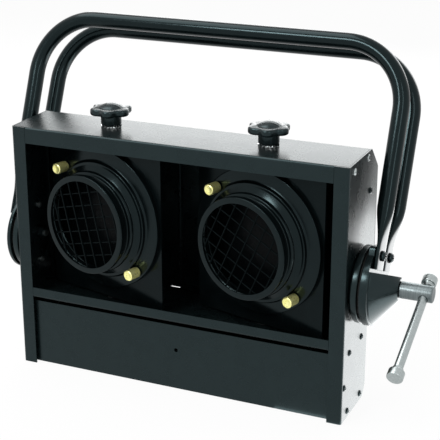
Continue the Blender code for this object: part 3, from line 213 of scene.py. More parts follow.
# Lamp
LAMP_RIM = 0.0565
LAMP_RIM_LENGTH = 0.0046
LAMP_RIM_STEP = 0.0006
LAMP_LENS = 0.052
LAMP_LENS_WALL = 0.002
LAMP_DOME = 0.0040
LAMP_DEPTH = 0.044
LAMP_BOWL_CURVE = 1.9
LAMP_BOWL_WALL = 0.0014
LAMP_BOWL_STEPS = 16
LAMP_NECK = 0.013
LAMP_NECK_LENGTH = 0.004
LAMP_NECK_BORE = 0.4

# Star knobs
KNOB_BASE = 0.2722
KNOB_HUB = 0.0118
KNOB_HUB_DIAMETER = 0.0214
KNOB_HUB_EDGE = 0.0024
KNOB_DIAMETER = 0.044
KNOB_HEAD = 0.0072
KNOB_EDGE = 0.0024
KNOB_LOBES = 6
KNOB_LOBE_DEPTH = 0.0034
KNOB_LOBE_POWER = 1.4
KNOB_LOBE_POINTS = 24
KNOB_DOME = 0.0044
KNOB_DOME_DIAMETER = 0.027
KNOB_DOME_SINK = 0.0002
KNOB_OVERLAP = 0.001
LOCK_WASHER_DIAMETER = 0.0214
LOCK_WASHER_BORE = 0.009
LOCK_WASHER_TEETH = 16
LOCK_WASHER_TOOTH = 0.0028
LOCK_WASHER_TOOTH_SHARE = 0.78
LOCK_WASHER_HEIGHT = 0.0016
LOCK_WASHER_SHEET = 0.0006
LOCK_WASHER_TWIST = math.radians(28)

# Camera of the photograph
CAMERA_AT = (0.524054, -1.112678, 0.618001)
CAMERA_TURN = (math.radians(70.383), 0, math.radians(23.692))
CAMERA_LENS = 102.9
CAMERA_SENSOR = 36
CAMERA_CLIP = 0.05

# Studio: each lamp's place, what it faces, its size and its strength
OBJECT_MIDDLE = (0, 0, 0.15)
LAMPS = {
    "top_light": ((-0.82, -0.15, 2.1), OBJECT_MIDDLE, (1.7, 1.3), 26),
    "back_light": ((-0.08, 1.5, 0.80), OBJECT_MIDDLE, (2.0, 1.0), 18),
    "low_light": ((0.305, 0.285, -0.0001), (0.305, 0.285, 1), (0.39, 0.65), 2.4),
    "right_light": ((1.30, -1.20, 1.10), OBJECT_MIDDLE, (0.2, 1.3), 5),
    "front_light": ((-0.62, -1.68, 1.56), OBJECT_MIDDLE, (0.62, 0.45), 20),
}
PLATED_PIECES = ["clamp_screw_turned", "bar_turned", "bar_cap_upper", "bar_cap_lower"]
REAR_SHEETS = ["bottom_tray", "wiring_cover", "rear_cover"]
FLOOR_REACH = 30
FLOOR_DROP = 0.0002
FLOOR_GLOW = 1.0
FLOOR_GLOW_SHARE = 0.94
SKY_ON_OBJECT = 0.45
SKY_SEEN = 1.0

# Steps round a turned piece, and along the arch of a dome
FINE = 96
MEDIUM = 48
SMALL = 24
DOME_STEPS = 10

# Distance at which points count as one, and the angle from which an edge stays sharp
SAME_POINT = 1e-7
SHARP_ANGLE = math.radians(35)

# Rounding of an outline: corners flatter than this half angle stay as they are, and an arc
# takes up no more than this share of either side
FLAT_CORNER = math.radians(88)
CORNER_SHARE = 0.45

# Smallest cosine taken at a corner of a parallel line, so that a sharp one doesn't reach far out
MITRE_LIMIT = 0.5


# Shapes

def new_piece(name, vertices, faces):
    mesh = bpy.data.meshes.new(name)
    mesh.from_pydata(vertices, [], faces)
    mesh.validate()
    piece = bpy.data.objects.new(name, mesh)
    bpy.context.scene.collection.objects.link(piece)
    return piece


def move(piece, matrix):
    piece.data.transform(matrix)
    return piece


AXES = {
    "x": Matrix(((0, 0, 1, 0), (0, 1, 0, 0), (-1, 0, 0, 0), (0, 0, 0, 1))),
    "-y": Matrix(((1, 0, 0, 0), (0, 0, -1, 0), (0, 1, 0, 0), (0, 0, 0, 1))),
    "y": Matrix(((1, 0, 0, 0), (0, 0, 1, 0), (0, -1, 0, 0), (0, 0, 0, 1))),
    "z": Matrix.Identity(4),
}


def turned(name, profile, steps=FINE, axis="z"):
    """Turns a closed profile of (radius, height) points about its axis."""
    vertices = []
    rings = []
    for radius, height in profile:
        if radius < SAME_POINT:
            rings.append([len(vertices)] * steps)
            vertices.append((0, 0, height))
            continue
        rings.append(list(range(len(vertices), len(vertices) + steps)))
        for i in range(steps):
            angle = 2 * math.pi * i / steps
            vertices.append((radius * math.cos(angle), radius * math.sin(angle), height))
    faces = []
    pairs = list(zip(rings, rings[1:]))
    if profile[0][0] >= SAME_POINT:
        pairs.append((rings[-1], rings[0]))
    for lower, upper in pairs:
        for i in range(steps):
            j = (i + 1) % steps
            corners = [lower[i], lower[j], upper[j], upper[i]]
            face = [c for k, c in enumerate(corners) if c != corners[k - 1]]
            if len(face) > 2:
                faces.append(face)
    piece = new_piece(name, vertices, faces)
    face_outwards(piece)
    return move(piece, AXES[axis])


def face_outwards(piece):
    """Joins points that coincide, and turns all faces outwards."""
    body = bmesh.new()
    body.from_mesh(piece.data)
    bmesh.ops.remove_doubles(body, verts=body.verts, dist=SAME_POINT)
    bmesh.ops.recalc_face_normals(body, faces=body.faces)
    body.to_mesh(piece.data)
    body.free()
    return piece


def joined_rings(name, vertices, sides, closed=False):
    """Skin over rings of points that follow each other, with flat ends unless they close."""
    rings = len(vertices) // sides
    faces = []
    for i in range(rings if closed else rings - 1):
        j = (i + 1) % rings
        for k in range(sides):
            m = (k + 1) % sides
            faces.append((i * sides + k, i * sides + m, j * sides + m, j * sides + k))
    if not closed:
        faces.append(tuple(range(sides))[::-1])
        faces.append(tuple(range((rings - 1) * sides, rings * sides)))
    return face_outwards(new_piece(name, vertices, faces))


def softened(points, radius, steps):
    """Rounds the inner corners of an open line, each by no more than its sides allow."""
    line = [Vector(p) for p in points]
    result = [line[0]]
    for before, corner, after in zip(line, line[1:], line[2:]):
        back = before - corner
        ahead = after - corner
        half = back.angle(ahead) / 2
        if half > FLAT_CORNER:
            result.append(corner)
            continue
        reach = min(radius / math.tan(half), CORNER_SHARE * back.length, CORNER_SHARE * ahead.length)
        start = corner + back.normalized() * reach
        end = corner + ahead.normalized() * reach
        for i in range(steps + 1):
            t = i / steps
            result.append(start * (1 - t) ** 2 + corner * 2 * t * (1 - t) + end * t ** 2)
    result.append(line[-1])
    return result


def beside(line, distance):
    """The line that lies a distance to the left of an open line."""
    result = []
    for i, point in enumerate(line):
        normals = []
        for a, b in ((i - 1, i), (i, i + 1)):
            if a >= 0 and b < len(line):
                step = (line[b] - line[a]).normalized()
                normals.append(Vector((-step.y, step.x)))
        normal = sum(normals, Vector((0, 0))).normalized()
        result.append(point + normal * distance / max(normal.dot(normals[0]), MITRE_LIMIT))
    return result


def block(low, high):
    low = Vector(low)
    high = Vector(high)
    corners = [(x, y, z) for x in (low.x, high.x) for y in (low.y, high.y) for z in (low.z, high.z)]
    faces = [(0, 1, 3, 2), (4, 6, 7, 5), (0, 4, 5, 1), (2, 3, 7, 6), (0, 2, 6, 4), (1, 5, 7, 3)]
    return new_piece("cutter", corners, faces)


def prism(name, outline, low, high, edge, steps):
    """Extrudes an outline in the XY plane, with its rim edges rounded by the edge size."""
    angles = [math.pi / 2 * i / steps for i in range(steps + 1)]
    layers = [(low + edge * (1 - math.cos(a)), edge * (1 - math.sin(a))) for a in angles]
    layers += [(low + high - height, inset) for height, inset in reversed(layers)]
    vertices = []
    for height, inset in layers:
        for x, y in outline:
            reach = math.hypot(x, y)
            share = (reach - inset) / reach
            vertices.append((x * share, y * share, height))
    return joined_rings(name, vertices, len(outline))


def combine(piece, others, operation):
    for other in others:
        change = piece.modifiers.new(operation.lower(), "BOOLEAN")
        change.operation = operation
        change.solver = "EXACT"
        change.object = other
    bpy.context.view_layer.update()
    graph = bpy.context.evaluated_depsgraph_get()
    mesh = bpy.data.meshes.new_from_object(piece.evaluated_get(graph))
    piece.modifiers.clear()
    piece.data = mesh
    for other in others:
        bpy.data.objects.remove(other, do_unlink=True)
    return piece


def merged(name, pieces):
    """One piece made of several that need no union."""
    body = bmesh.new()
    for piece in pieces:
        body.from_mesh(piece.data)
        bpy.data.objects.remove(piece, do_unlink=True)
    mesh = bpy.data.meshes.new(name)
    body.to_mesh(mesh)
    body.free()
    made = bpy.data.objects.new(name, mesh)
    bpy.context.scene.collection.objects.link(made)
    return made


def tube(name, points, radius, sides, closed=False):
    """A round tube along a line of points."""
    line = [Vector(p) for p in points]
    count = len(line)
    normal = None
    vertices = []
    for i, point in enumerate(line):
        before = line[i - 1] if i or closed else line[i]
        after = line[(i + 1) % count] if i < count - 1 or closed else line[i]
        along = (after - before).normalized()
        if normal is None:
            normal = along.orthogonal().normalized()
        normal = (normal - along * normal.dot(along)).normalized()
        other = along.cross(normal)
        for k in range(sides):
            angle = 2 * math.pi * k / sides
            vertices.append(point + (normal * math.cos(angle) + other * math.sin(angle)) * radius)
    return joined_rings(name, vertices, sides, closed)


def mirrored(piece):
    piece.data.transform(Matrix.Scale(-1, 4, (1, 0, 0)))
    piece.data.flip_normals()
    return piece


def done(piece, name, material, slot, body, *nodes):
    """Names a finished piece and hangs it on its body, in place of the nodes it stands for."""
    piece.name = name
    piece.data.name = name
    piece.data.materials.clear()
    piece.data.materials.append(material)
    piece.data.shade_smooth()
    piece.data.set_sharp_from_angle(angle=SHARP_ANGLE)
    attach(piece, body)
    if nodes:
        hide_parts(*nodes)
    return piece


# Materials

BLUE_GREEN = (0.66, 0.95, 1.0, 1)

# Part of a noise's range that carries the tones and the roughness
NOISE_LOW = 0.3
NOISE_HIGH = 0.7


class Shader:
    """A Principled material whose nodes are added one by one."""

    def __init__(self, name):
        self.material = bpy.data.materials.new(name)
        self.material.use_nodes = True
        self.tree = self.material.node_tree
        self.main = self.tree.nodes["Principled BSDF"]
        self.place = self.add("ShaderNodeTexCoord").outputs["Object"]

    def add(self, kind, **values):
        node = self.tree.nodes.new(kind)
        for name, value in values.items():
            setattr(node, name, value)
        return node

    def link(self, output, target):
        self.tree.links.new(output, target)

    def set(self, **values):
        """Sets sockets of the shader itself, named with underscores for spaces."""
        for name, value in values.items():
            self.main.inputs[name.replace("_", " ")].default_value = value
        return self

    def noise(self, scale, detail=2.0, rough=0.5, stretch=None):
        source = self.place
        if stretch:
            mapping = self.add("ShaderNodeMapping")
            mapping.inputs["Scale"].default_value = stretch
            self.link(self.place, mapping.inputs["Vector"])
            source = mapping.outputs["Vector"]
        node = self.add("ShaderNodeTexNoise")
        node.inputs["Scale"].default_value = scale
        node.inputs["Detail"].default_value = detail
        node.inputs["Roughness"].default_value = rough
        self.link(source, node.inputs["Vector"])
        return node.outputs["Fac"]

    def tones(self, value, dark, light):
        ramp = self.add("ShaderNodeValToRGB")
        ramp.color_ramp.elements[0].position = NOISE_LOW
        ramp.color_ramp.elements[0].color = (*dark, 1)
        ramp.color_ramp.elements[1].position = NOISE_HIGH
        ramp.color_ramp.elements[1].color = (*light, 1)
        self.link(value, ramp.inputs["Fac"])
        self.link(ramp.outputs["Color"], self.main.inputs["Base Color"])
        return self

    def roughness(self, value, low, high):
        node = self.add("ShaderNodeMapRange")
        node.inputs["From Min"].default_value = NOISE_LOW
        node.inputs["From Max"].default_value = NOISE_HIGH
        node.inputs["To Min"].default_value = low
        node.inputs["To Max"].default_value = high
        self.link(value, node.inputs["Value"])
        self.link(node.outputs["Result"], self.main.inputs["Roughness"])
        return self

    def bumps(self, *layers):
        """Layers of (value, strength, height in metres), each over the one before."""
        normal = None
        for value, strength, height in layers:
            node = self.add("ShaderNodeBump")
            node.inputs["Strength"].default_value = strength
            node.inputs["Distance"].default_value = height
            self.link(value, node.inputs["Height"])
            if normal:
                self.link(normal, node.inputs["Normal"])
            normal = node.outputs["Normal"]
        self.link(normal, self.main.inputs["Normal"])
        return self


def powder_coat():
    """Satin black with a faint blue-green cast and a fine orange peel."""
    shader = Shader("powder_coat")
    shader.set(Specular_IOR_Level=0.33, IOR=1.5, Specular_Tint=BLUE_GREEN)
    shader.tones(shader.noise(60, 4), (0.0024, 0.0046, 0.0050), (0.0040, 0.0070, 0.0075))
    shader.roughness(shader.noise(60, 3), 0.266, 0.286)
    return shader.bumps((shader.noise(900, 1), 0.012, 0.00002)).material


def shaded_black_paint(name, level):
    """Black made darker and less glossy for the lamp heads, as painted shade for the shade they stand in.
    """
    shader = Shader(name)
    shader.set(Specular_IOR_Level=level, IOR=1.5, Specular_Tint=BLUE_GREEN)
    shader.tones(shader.noise(70, 4), (0.0010, 0.0020, 0.0023), (0.0018, 0.0032, 0.0036))
    shader.roughness(shader.noise(160, 3), 0.15, 0.21)
    return shader.bumps((shader.noise(700, 1), 0.03, 0.00004)).material


def gloss_paint():
    """Smoother black enamel of the bent tubes."""
    shader = Shader("tube_enamel")
    shader.set(Specular_IOR_Level=0.21, IOR=1.5, Specular_Tint=BLUE_GREEN)
    shader.tones(shader.noise(45, 3), (0.0016, 0.0030, 0.0034), (0.0028, 0.0048, 0.0052))
    shader.roughness(shader.noise(180, 2), 0.13, 0.19)
    return shader.bumps((shader.noise(420, 2), 0.04, 0.0001)).material


def cast_paint():
    """Black enamel over a slightly grainy casting."""
    shader = Shader("casting_enamel")
    shader.set(Specular_IOR_Level=0.34, IOR=1.5, Specular_Tint=BLUE_GREEN)
    shader.tones(shader.noise(90, 4), (0.0022, 0.0040, 0.0044), (0.0040, 0.0066, 0.0070))
    shader.roughness(shader.noise(300, 3), 0.18, 0.26)
    coarse = (shader.noise(480, 3), 0.06, 0.0001)
    fine = (shader.noise(1900, 2), 0.04, 0.00004)
    return shader.bumps(coarse, fine).material


def plated_steel(name, stretch, dark, light, low, high):
    """Plated steel with fine tool marks that run round the turned piece."""
    shader = Shader(name)
    shader.set(Metallic=1.0)
    marks = shader.noise(700, 3, 0.6, stretch)
    shader.tones(marks, dark, light)
    shader.roughness(shader.noise(160, 3), low, high)
    return shader.bumps((marks, 0.05, 0.00005)).material


def brass():
    shader = Shader("bright_brass")
    shader.set(Metallic=0.7)
    shader.tones(shader.noise(260, 3), (0.90, 0.86, 0.29), (0.98, 0.95, 0.44))
    shader.roughness(shader.noise(500, 3), 0.26, 0.36)
    return shader.bumps((shader.noise(1500, 2), 0.08, 0.00005)).material


def moulded_plastic():
    shader = Shader("moulded_plastic")
    shader.set(IOR=1.48, Specular_IOR_Level=0.35, Specular_Tint=BLUE_GREEN)
    shader.tones(shader.noise(120, 3), (0.0030, 0.0050, 0.0055), (0.0050, 0.0080, 0.0085))
    shader.roughness(shader.noise(350, 3), 0.16, 0.24)
    return shader.bumps((shader.noise(1400, 2), 0.10, 0.00006)).material


def fibre():
    shader = Shader("pressed_fibre")
    shader.tones(shader.noise(700, 4, 0.7), (0.010, 0.010, 0.010), (0.024, 0.023, 0.022))
    shader.roughness(shader.noise(500, 2), 0.75, 0.9)
    return shader.bumps((shader.noise(1600, 4, 0.7), 0.4, 0.0001)).material


def ceramic():
    shader = Shader("white_ceramic")
    shader.set(IOR=1.52)
    shader.tones(shader.noise(150, 4), (0.72, 0.70, 0.64), (0.83, 0.81, 0.76))
    shader.roughness(shader.noise(300, 3), 0.40, 0.58)
    return shader.bumps((shader.noise(1100, 3), 0.15, 0.0001)).material


def dark_lens_painted_shade():
    """Lamp glass made near black and opaque, as painted shade for the dark inside of the snoot, with the
    upright flutes of a beam lens.
    """
    shader = Shader("dark_lens_painted_shade")
    shader.set(IOR=1.5, Specular_IOR_Level=0.05)
    flutes = shader.add("ShaderNodeTexWave", bands_direction="X")
    flutes.inputs["Scale"].default_value = 60
    flutes.inputs["Distortion"].default_value = 0.4
    shader.link(shader.place, flutes.inputs["Vector"])
    shader.tones(shader.noise(80, 3), (0.0012, 0.0018, 0.0022), (0.0024, 0.0032, 0.0036))
    shader.roughness(shader.noise(200, 2), 0.24, 0.34)
    return shader.bumps((flutes.outputs["Fac"], 0.10, 0.0004)).material


def silvered_glass():
    """Silvered back of the lamp's bowl."""
    shader = Shader("silvered_glass")
    shader.set(Metallic=1.0)
    shader.tones(shader.noise(70, 4), (0.52, 0.54, 0.54), (0.66, 0.67, 0.66))
    shader.roughness(shader.noise(200, 3), 0.14, 0.28)
    return shader.bumps((shader.noise(120, 3), 0.12, 0.0003)).material


def seen_directly(tree):
    """1 where the camera, a reflection or a view through glass meets the backdrop, else 0."""
    path = tree.nodes.new("ShaderNodeLightPath")
    value = path.outputs["Is Camera Ray"]
    for ray in ("Is Glossy Ray", "Is Transmission Ray"):
        either = tree.nodes.new("ShaderNodeMath")
        either.operation = "MAXIMUM"
        tree.links.new(value, either.inputs[0])
        tree.links.new(path.outputs[ray], either.inputs[1])
        value = either.outputs[0]
    return value


def floor_paper():
    """Pale paper that keeps the object's shadow and looks nearly white where it is seen."""
    shader = Shader("studio_paper")
    shader.tones(shader.noise(6, 3), (0.80, 0.80, 0.80), (0.83, 0.83, 0.83))
    shader.roughness(shader.noise(40, 2), 0.85, 0.95)
    glow = shader.add("ShaderNodeEmission")
    glow.inputs["Strength"].default_value = FLOOR_GLOW
    share = shader.add("ShaderNodeMath", operation="MULTIPLY")
    share.inputs[1].default_value = FLOOR_GLOW_SHARE
    shader.link(seen_directly(shader.tree), share.inputs[0])
    blend = shader.add("ShaderNodeMixShader")
    output = shader.tree.nodes["Material Output"]
    shader.link(share.outputs[0], blend.inputs["Fac"])
    shader.link(shader.main.outputs["BSDF"], blend.inputs[1])
    shader.link(glow.outputs["Emission"], blend.inputs[2])
    shader.link(blend.outputs["Shader"], output.inputs["Surface"])
    return shader.material


POWDER = powder_coat()
# Snoots, head plates and grid wires get darker, less glossy copies of the black paint: painted shade
SNOOT_SHADE = shaded_black_paint("snoot_paint_painted_shade", 0.20)
SHADE = shaded_black_paint("plate_paint_painted_shade", 0.11)
WIRES = shaded_black_paint("wire_paint_painted_shade", 0.05)
ENAMEL = gloss_paint()
CASTING = cast_paint()
STEEL_X = plated_steel("steel_turned_on_x", (1, 0.05, 0.05), (0.12, 0.145, 0.15), (0.19, 0.22, 0.225),
                       0.34, 0.46)
BRIGHT = plated_steel("steel_bright", (1, 1, 1), (0.78, 0.82, 0.82), (0.90, 0.94, 0.94), 0.20, 0.30)
STEEL = plated_steel("steel_plain", (1, 1, 1), (0.33, 0.37, 0.37), (0.44, 0.48, 0.48), 0.28, 0.36)
BRASS = brass()
PLASTIC = moulded_plastic()
FIBRE = fibre()
CERAMIC = ceramic()
LENS = dark_lens_painted_shade()
SILVER = silvered_glass()

# Nodes that keep their own shape, each with the finish it gets
HOUSING_FINISHES = {
    "top_cover": POWDER, "shelf": POWDER, "front_panel": POWDER, "bottom_tray": POWDER,
    "wiring_cover": POWDER, "rear_cover": POWDER, "terminal_block": CERAMIC, "earth_stud": BRASS,
    "cable_gland": PLASTIC, "gland_nut": PLASTIC, "clamp_nut": STEEL, "pivot_nut_left": CASTING,
    "pivot_bolt_left": STEEL,
}
PAIRED_FINISHES = {
    "side_plate_": POWDER, "head_plate_": SHADE, "lamp_cup_": STEEL, "lamp_socket_": CERAMIC,
    "pan_bolt_": STEEL, "pan_washer_upper_": FIBRE, "pan_washer_lower_": FIBRE, "friction_washer_": FIBRE,
}


def dress_nodes():
    finishes = dict(HOUSING_FINISHES)
    for start, material in PAIRED_FINISHES.items():
        finishes[start + "left"] = material
        finishes[start + "right"] = material
    for name, material in finishes.items():
        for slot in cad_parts[name].material_slots:
            slot.material = material


# Housing

def pan_screw(diameter, height):
    """Domed head with a cross recess, standing on the XY plane."""
    radius = diameter / 2
    dome = [(radius * across, height * up) for across, up in PAN_HEAD_DOME]
    profile = [(0, height), *dome, (radius, 0), (0, 0)]
    head = turned("screw", softened(profile, PAN_HEAD_EDGE, steps=2), SMALL)
    arm = radius * RECESS_ARM
    width = radius * RECESS_WIDTH
    low = height * RECESS_FLOOR
    high = height * 2
    slots = [block((-arm, -width, low), (arm, width, high)), block((-width, -arm, low), (width, arm, high))]
    return combine(head, slots, "DIFFERENCE")


def side_screws():
    made = pan_screw(SIDE_SCREW_HEAD, SIDE_SCREW_HEIGHT)
    for side, word in ((1, "right"), (-1, "left")):
        for number, (back, height) in enumerate(SIDE_SCREWS):
            screw = bpy.data.objects.new("screw", made.data.copy())
            bpy.context.scene.collection.objects.link(screw)
            move(screw, Matrix.Rotation(number * SIDE_SCREW_TURN, 4, "Z"))
            move(screw, AXES["x"])
            if side < 0:
                mirrored(screw)
            move(screw, Matrix.Translation((side * HALF_WIDTH, FRONT + back, height)))
            # Plated steel on the upper two screws is a painted highlight
            finish = STEEL if number in STEEL_GLINT_SCREWS else CASTING
            done(screw, f"side_screw_{word}_{number}", finish, "black_powder_coat", "housing")
    bpy.data.objects.remove(made, do_unlink=True)


def disc_screw_tip():
    """Tip of a screw in its nut, on the inner face of a side plate."""
    radius = DISC_SCREW_DIAMETER / 2
    nut = radius * DISC_NUT_WIDTH
    inner = HALF_WIDTH - SHEET
    profile = [
        (0, inner), (nut, inner), (nut, inner - DISC_SCREW_TIP * DISC_NUT_RIM),
        (radius, inner - DISC_SCREW_TIP * DISC_NUT_TOP), (radius, inner - DISC_SCREW_TIP),
        (0, inner - DISC_SCREW_TIP),
    ]
    return turned("tip", softened(profile, DISC_NUT_EDGE, steps=2), SMALL, "x")


def disc_screws():
    """Tips of the screws that hold the friction discs, with their nuts inside the side plates."""
    for side, word in ((1, "right"), (-1, "left")):
        tips = []
        for i in range(DISC_SCREW_COUNT):
            angle = math.radians(DISC_SCREW_FIRST + 360 / DISC_SCREW_COUNT * i)
            at = (0, DISC_SCREW_CIRCLE * math.cos(angle), DISC_SCREW_CIRCLE * math.sin(angle))
            tips.append(move(disc_screw_tip(), Matrix.Translation(PIVOT + Vector(at))))
        made = merged("tips", tips)
        if side < 0:
            mirrored(made)
        done(made, "disc_screws_" + word, STEEL, "bright_steel", "housing")


# Pivot

def at_pivot(piece, lean=0.0):
    return move(piece, Matrix.Translation(PIVOT) @ Matrix.Rotation(lean, 4, "X"))


def friction_disc(bore):
    boss = DISC_FROM + DISC_BOSS
    radius = DISC_DIAMETER / 2
    line = softened([
        (bore, DISC_FACE), (radius, DISC_FACE), (radius, boss), (DISC_BOSS_DIAMETER / 2, boss),
        (DISC_BOSS_DIAMETER / 2, DISC_FROM), (bore, DISC_FROM),
    ], DISC_EDGE, steps=5)
    return turned("disc", line, FINE, "x")


def lug():
    """Plate behind the flattened tube ends."""
    half = LUG_HALF_WIDTH
    outline = softened([(-half, 0), (-half, LUG_TOP), (half, LUG_TOP), (half, 0)], LUG_CORNER, steps=6)
    vertices = [(x, y, z) for x in (HUB_FROM + SHEET, LUG_FACE) for y, z in outline]
    return joined_rings("lug", vertices, len(outline))


def conical_hub():
    lip = HUB_DIAMETER / 2
    foot = lip - 2 * LIP_EDGE
    line = softened([
        (0, CONE_TIP), (CONE_TIP_DIAMETER / 2, CONE_TIP), (foot, LIP_FACE + LIP_EDGE), (foot, LIP_FACE),
        (lip, LIP_FACE), (lip, HUB_FROM), (0, HUB_FROM),
    ], CONE_EDGE, steps=4)
    hub = turned("hub", line, FINE, "x")
    above = block((LUG_FACE, -HUB_DIAMETER, CONE_FLAT), (CONE_TIP + CUT_PAST, HUB_DIAMETER, HUB_DIAMETER))
    combine(hub, [above], "DIFFERENCE")
    combine(hub, [lug()], "UNION")
    radius = SCREW_SHANK / 2 + GAP
    bore = turned("bore", [(0, 0), (radius, 0), (radius, BORE_REACH), (0, BORE_REACH)], MEDIUM, "x")
    return combine(hub, [bore], "DIFFERENCE")


def plain_hub():
    lip = HUB_DIAMETER / 2
    points = [(0, PLAIN_HUB_FACE), (lip, PLAIN_HUB_FACE), (lip, HUB_FROM), (0, HUB_FROM)]
    hub = turned("hub", softened(points, PLAIN_HUB_EDGE, steps=5), FINE, "x")
    return combine(hub, [lug()], "UNION")


def clamp_screw():
    """Screw with a cross drilled head."""
    head = SCREW_HEAD / 2
    shank = SCREW_SHANK / 2
    tip = SCREW_HEAD_FROM + SCREW_HEAD_LENGTH
    line = softened([
        (0, tip), (head, tip), (head, SCREW_HEAD_FROM), (shank, SCREW_HEAD_FROM),
        (shank, SCREW_TIP_INSIDE), (0, SCREW_TIP_INSIDE),
    ], SCREW_EDGE, steps=5)
    screw = turned("screw", line, MEDIUM, "x")
    bore = BAR_DIAMETER / 2 + GAP
    reach = SCREW_HOLE_REACH
    hole = turned("hole", [(0, -reach), (bore, -reach), (bore, reach), (0, reach)], MEDIUM, "y")
    move(hole, Matrix.Translation((BAR_X, 0, 0)))
    return combine(screw, [hole], "DIFFERENCE")


def bar():
    radius = BAR_DIAMETER / 2
    reach = BAR_COLLAR + BAR_CAP_LENGTH * BAR_SHARE_IN_CAP
    low = BAR_LOWER - reach
    high = BAR_UPPER + reach
    line = softened([(0, low), (radius, low), (radius, high), (0, high)], BAR_EDGE, steps=2)
    return move(turned("bar", line, MEDIUM, "y"), Matrix.Translation((BAR_X, 0, 0)))


def bar_cap(diameter, side):
    """Cap with a narrower collar, over the upper or the lower end of the bar."""
    start = BAR_UPPER if side > 0 else -BAR_LOWER
    shoulder = start + BAR_COLLAR
    tip = shoulder + BAR_CAP_LENGTH
    radius = diameter / 2
    collar = BAR_COLLAR_DIAMETER / 2
    bore = BAR_DIAMETER / 2 + GAP
    line = softened([
        (0, tip), (radius, tip), (radius, shoulder), (collar, shoulder), (collar, start), (bore, start),
        (bore, tip - BAR_CAP_WALL), (0, tip - BAR_CAP_WALL),
    ], BAR_CAP_EDGE, steps=5)
    cap = turned("cap", line, MEDIUM, "y" if side > 0 else "-y")
    return move(cap, Matrix.Translation((BAR_X, 0, 0)))


def build_pivots():
    right_disc = at_pivot(friction_disc(SCREW_SHANK / 2 + 2 * GAP))
    done(right_disc, "disc_skin_right", CASTING, "black_powder_coat", "housing", "friction_disc_right")
    left_disc = at_pivot(mirrored(friction_disc(LEFT_DISC_BORE)))
    done(left_disc, "disc_skin_left", CASTING, "black_powder_coat", "housing", "friction_disc_left")
    right_hub = at_pivot(conical_hub(), -YOKE_LEAN)
    done(right_hub, "hub_skin_right", CASTING, "black_powder_coat", "yoke", "hub_right")
    left_hub = at_pivot(mirrored(plain_hub()), -YOKE_LEAN)
    done(left_hub, "hub_skin_left", CASTING, "black_powder_coat", "yoke", "hub_left")
    screw = at_pivot(clamp_screw(), BAR_TILT)
    done(screw, "clamp_screw_turned", STEEL_X, "bright_steel", "clamp", "clamp_screw")
    done(at_pivot(bar(), BAR_TILT), "bar_turned", STEEL, "bright_steel", "bar", "tommy_bar")
    for side, word, diameter in ((1, "upper", BAR_UPPER_CAP), (-1, "lower", BAR_LOWER_CAP)):
        cap = at_pivot(bar_cap(diameter, side), BAR_TILT)
        done(cap, "bar_cap_" + word, STEEL, "bright_steel", "bar", "tommy_cap_" + word)


# Yoke

def smooth(t):
    t = min(max(t, 0), 1)
    return t * t * (3 - 2 * t)


def between(low, high, t):
    return low + (high - low) * t


def roundness(height):
    """0 where the tube is pressed flat, 1 where it is round."""
    return smooth((height - FLAT_TOP) / (ROUND_FROM - FLAT_TOP))


def tube_spread(height):
    """How far the tube's middle stands from the middle of the yoke."""
    leaning = (height - LEAN_FROM) / (YOKE_HEIGHT - LEAN_FROM)
    return between(FLAT_SPREAD, between(TUBE_SPREAD_LOW, TUBE_SPREAD_HIGH, leaning), roundness(height))


def hoop_line():
    """Points (x, height) from the right flattened end over the top to the left one."""
    corner = YOKE_HEIGHT - YOKE_CORNER
    leg = [between(FLAT_BOTTOM, FLAT_TOP, i / FLAT_STEPS) for i in range(FLAT_STEPS)]
    leg += [between(FLAT_TOP, ROUND_FROM, i / CHANGE_STEPS) for i in range(CHANGE_STEPS)]
    leg += [between(ROUND_FROM, corner, i / LEG_STEPS) for i in range(LEG_STEPS)]
    right = [(YOKE_HALF_WIDTH, height) for height in leg]
    middle = YOKE_HALF_WIDTH - YOKE_CORNER
    for i in range(CORNER_STEPS + 1):
        angle = math.pi / 2 * i / CORNER_STEPS
        right.append((middle + YOKE_CORNER * math.cos(angle), corner + YOKE_CORNER * math.sin(angle)))
    return right + [(-x, height) for x, height in reversed(right)]


def hoop(side):
    """Bent tube whose ends are pressed flat, as rings of points along its line."""
    line = hoop_line()
    vertices = []
    for i, (x, height) in enumerate(line):
        before = Vector(line[max(i - 1, 0)])
        after = Vector(line[min(i + 1, len(line) - 1)])
        along = (after - before).normalized()
        across = Vector((along.y, -along.x))
        flat = 1 - roundness(height)
        thick = between(TUBE_DIAMETER, FLAT_THICKNESS, flat) / 2
        wide = between(TUBE_DIAMETER, FLAT_WIDTH, flat) / 2
        power = between(ROUND_POWER, FLAT_POWER, flat)
        middle = side * tube_spread(height)
        for k in range(TUBE_SIDES):
            angle = 2 * math.pi * k / TUBE_SIDES
            cosine = math.copysign(abs(math.cos(angle)) ** power, math.cos(angle))
            sine = math.copysign(abs(math.sin(angle)) ** power, math.sin(angle))
            point = Vector((x, height)) + across * thick * cosine
            vertices.append((point.x, middle + wide * sine, point.y))
    return joined_rings("hoop", vertices, TUBE_SIDES)


def bracket_bolt():
    face = YOKE_HALF_WIDTH + FLAT_THICKNESS / 2 + GAP
    head = pan_screw(BRACKET_BOLT_HEAD, BRACKET_BOLT_HEAD_LENGTH)
    move(head, AXES["x"])
    move(head, Matrix.Translation((face, 0, 0)))
    radius = BRACKET_BOLT_SHANK / 2
    start = face + GAP
    end = face - BRACKET_BOLT_GRIP
    shank = turned("shank", [(0, start), (radius, start), (radius, end), (0, end)], SMALL, "x")
    return merged("bolt", [head, shank])


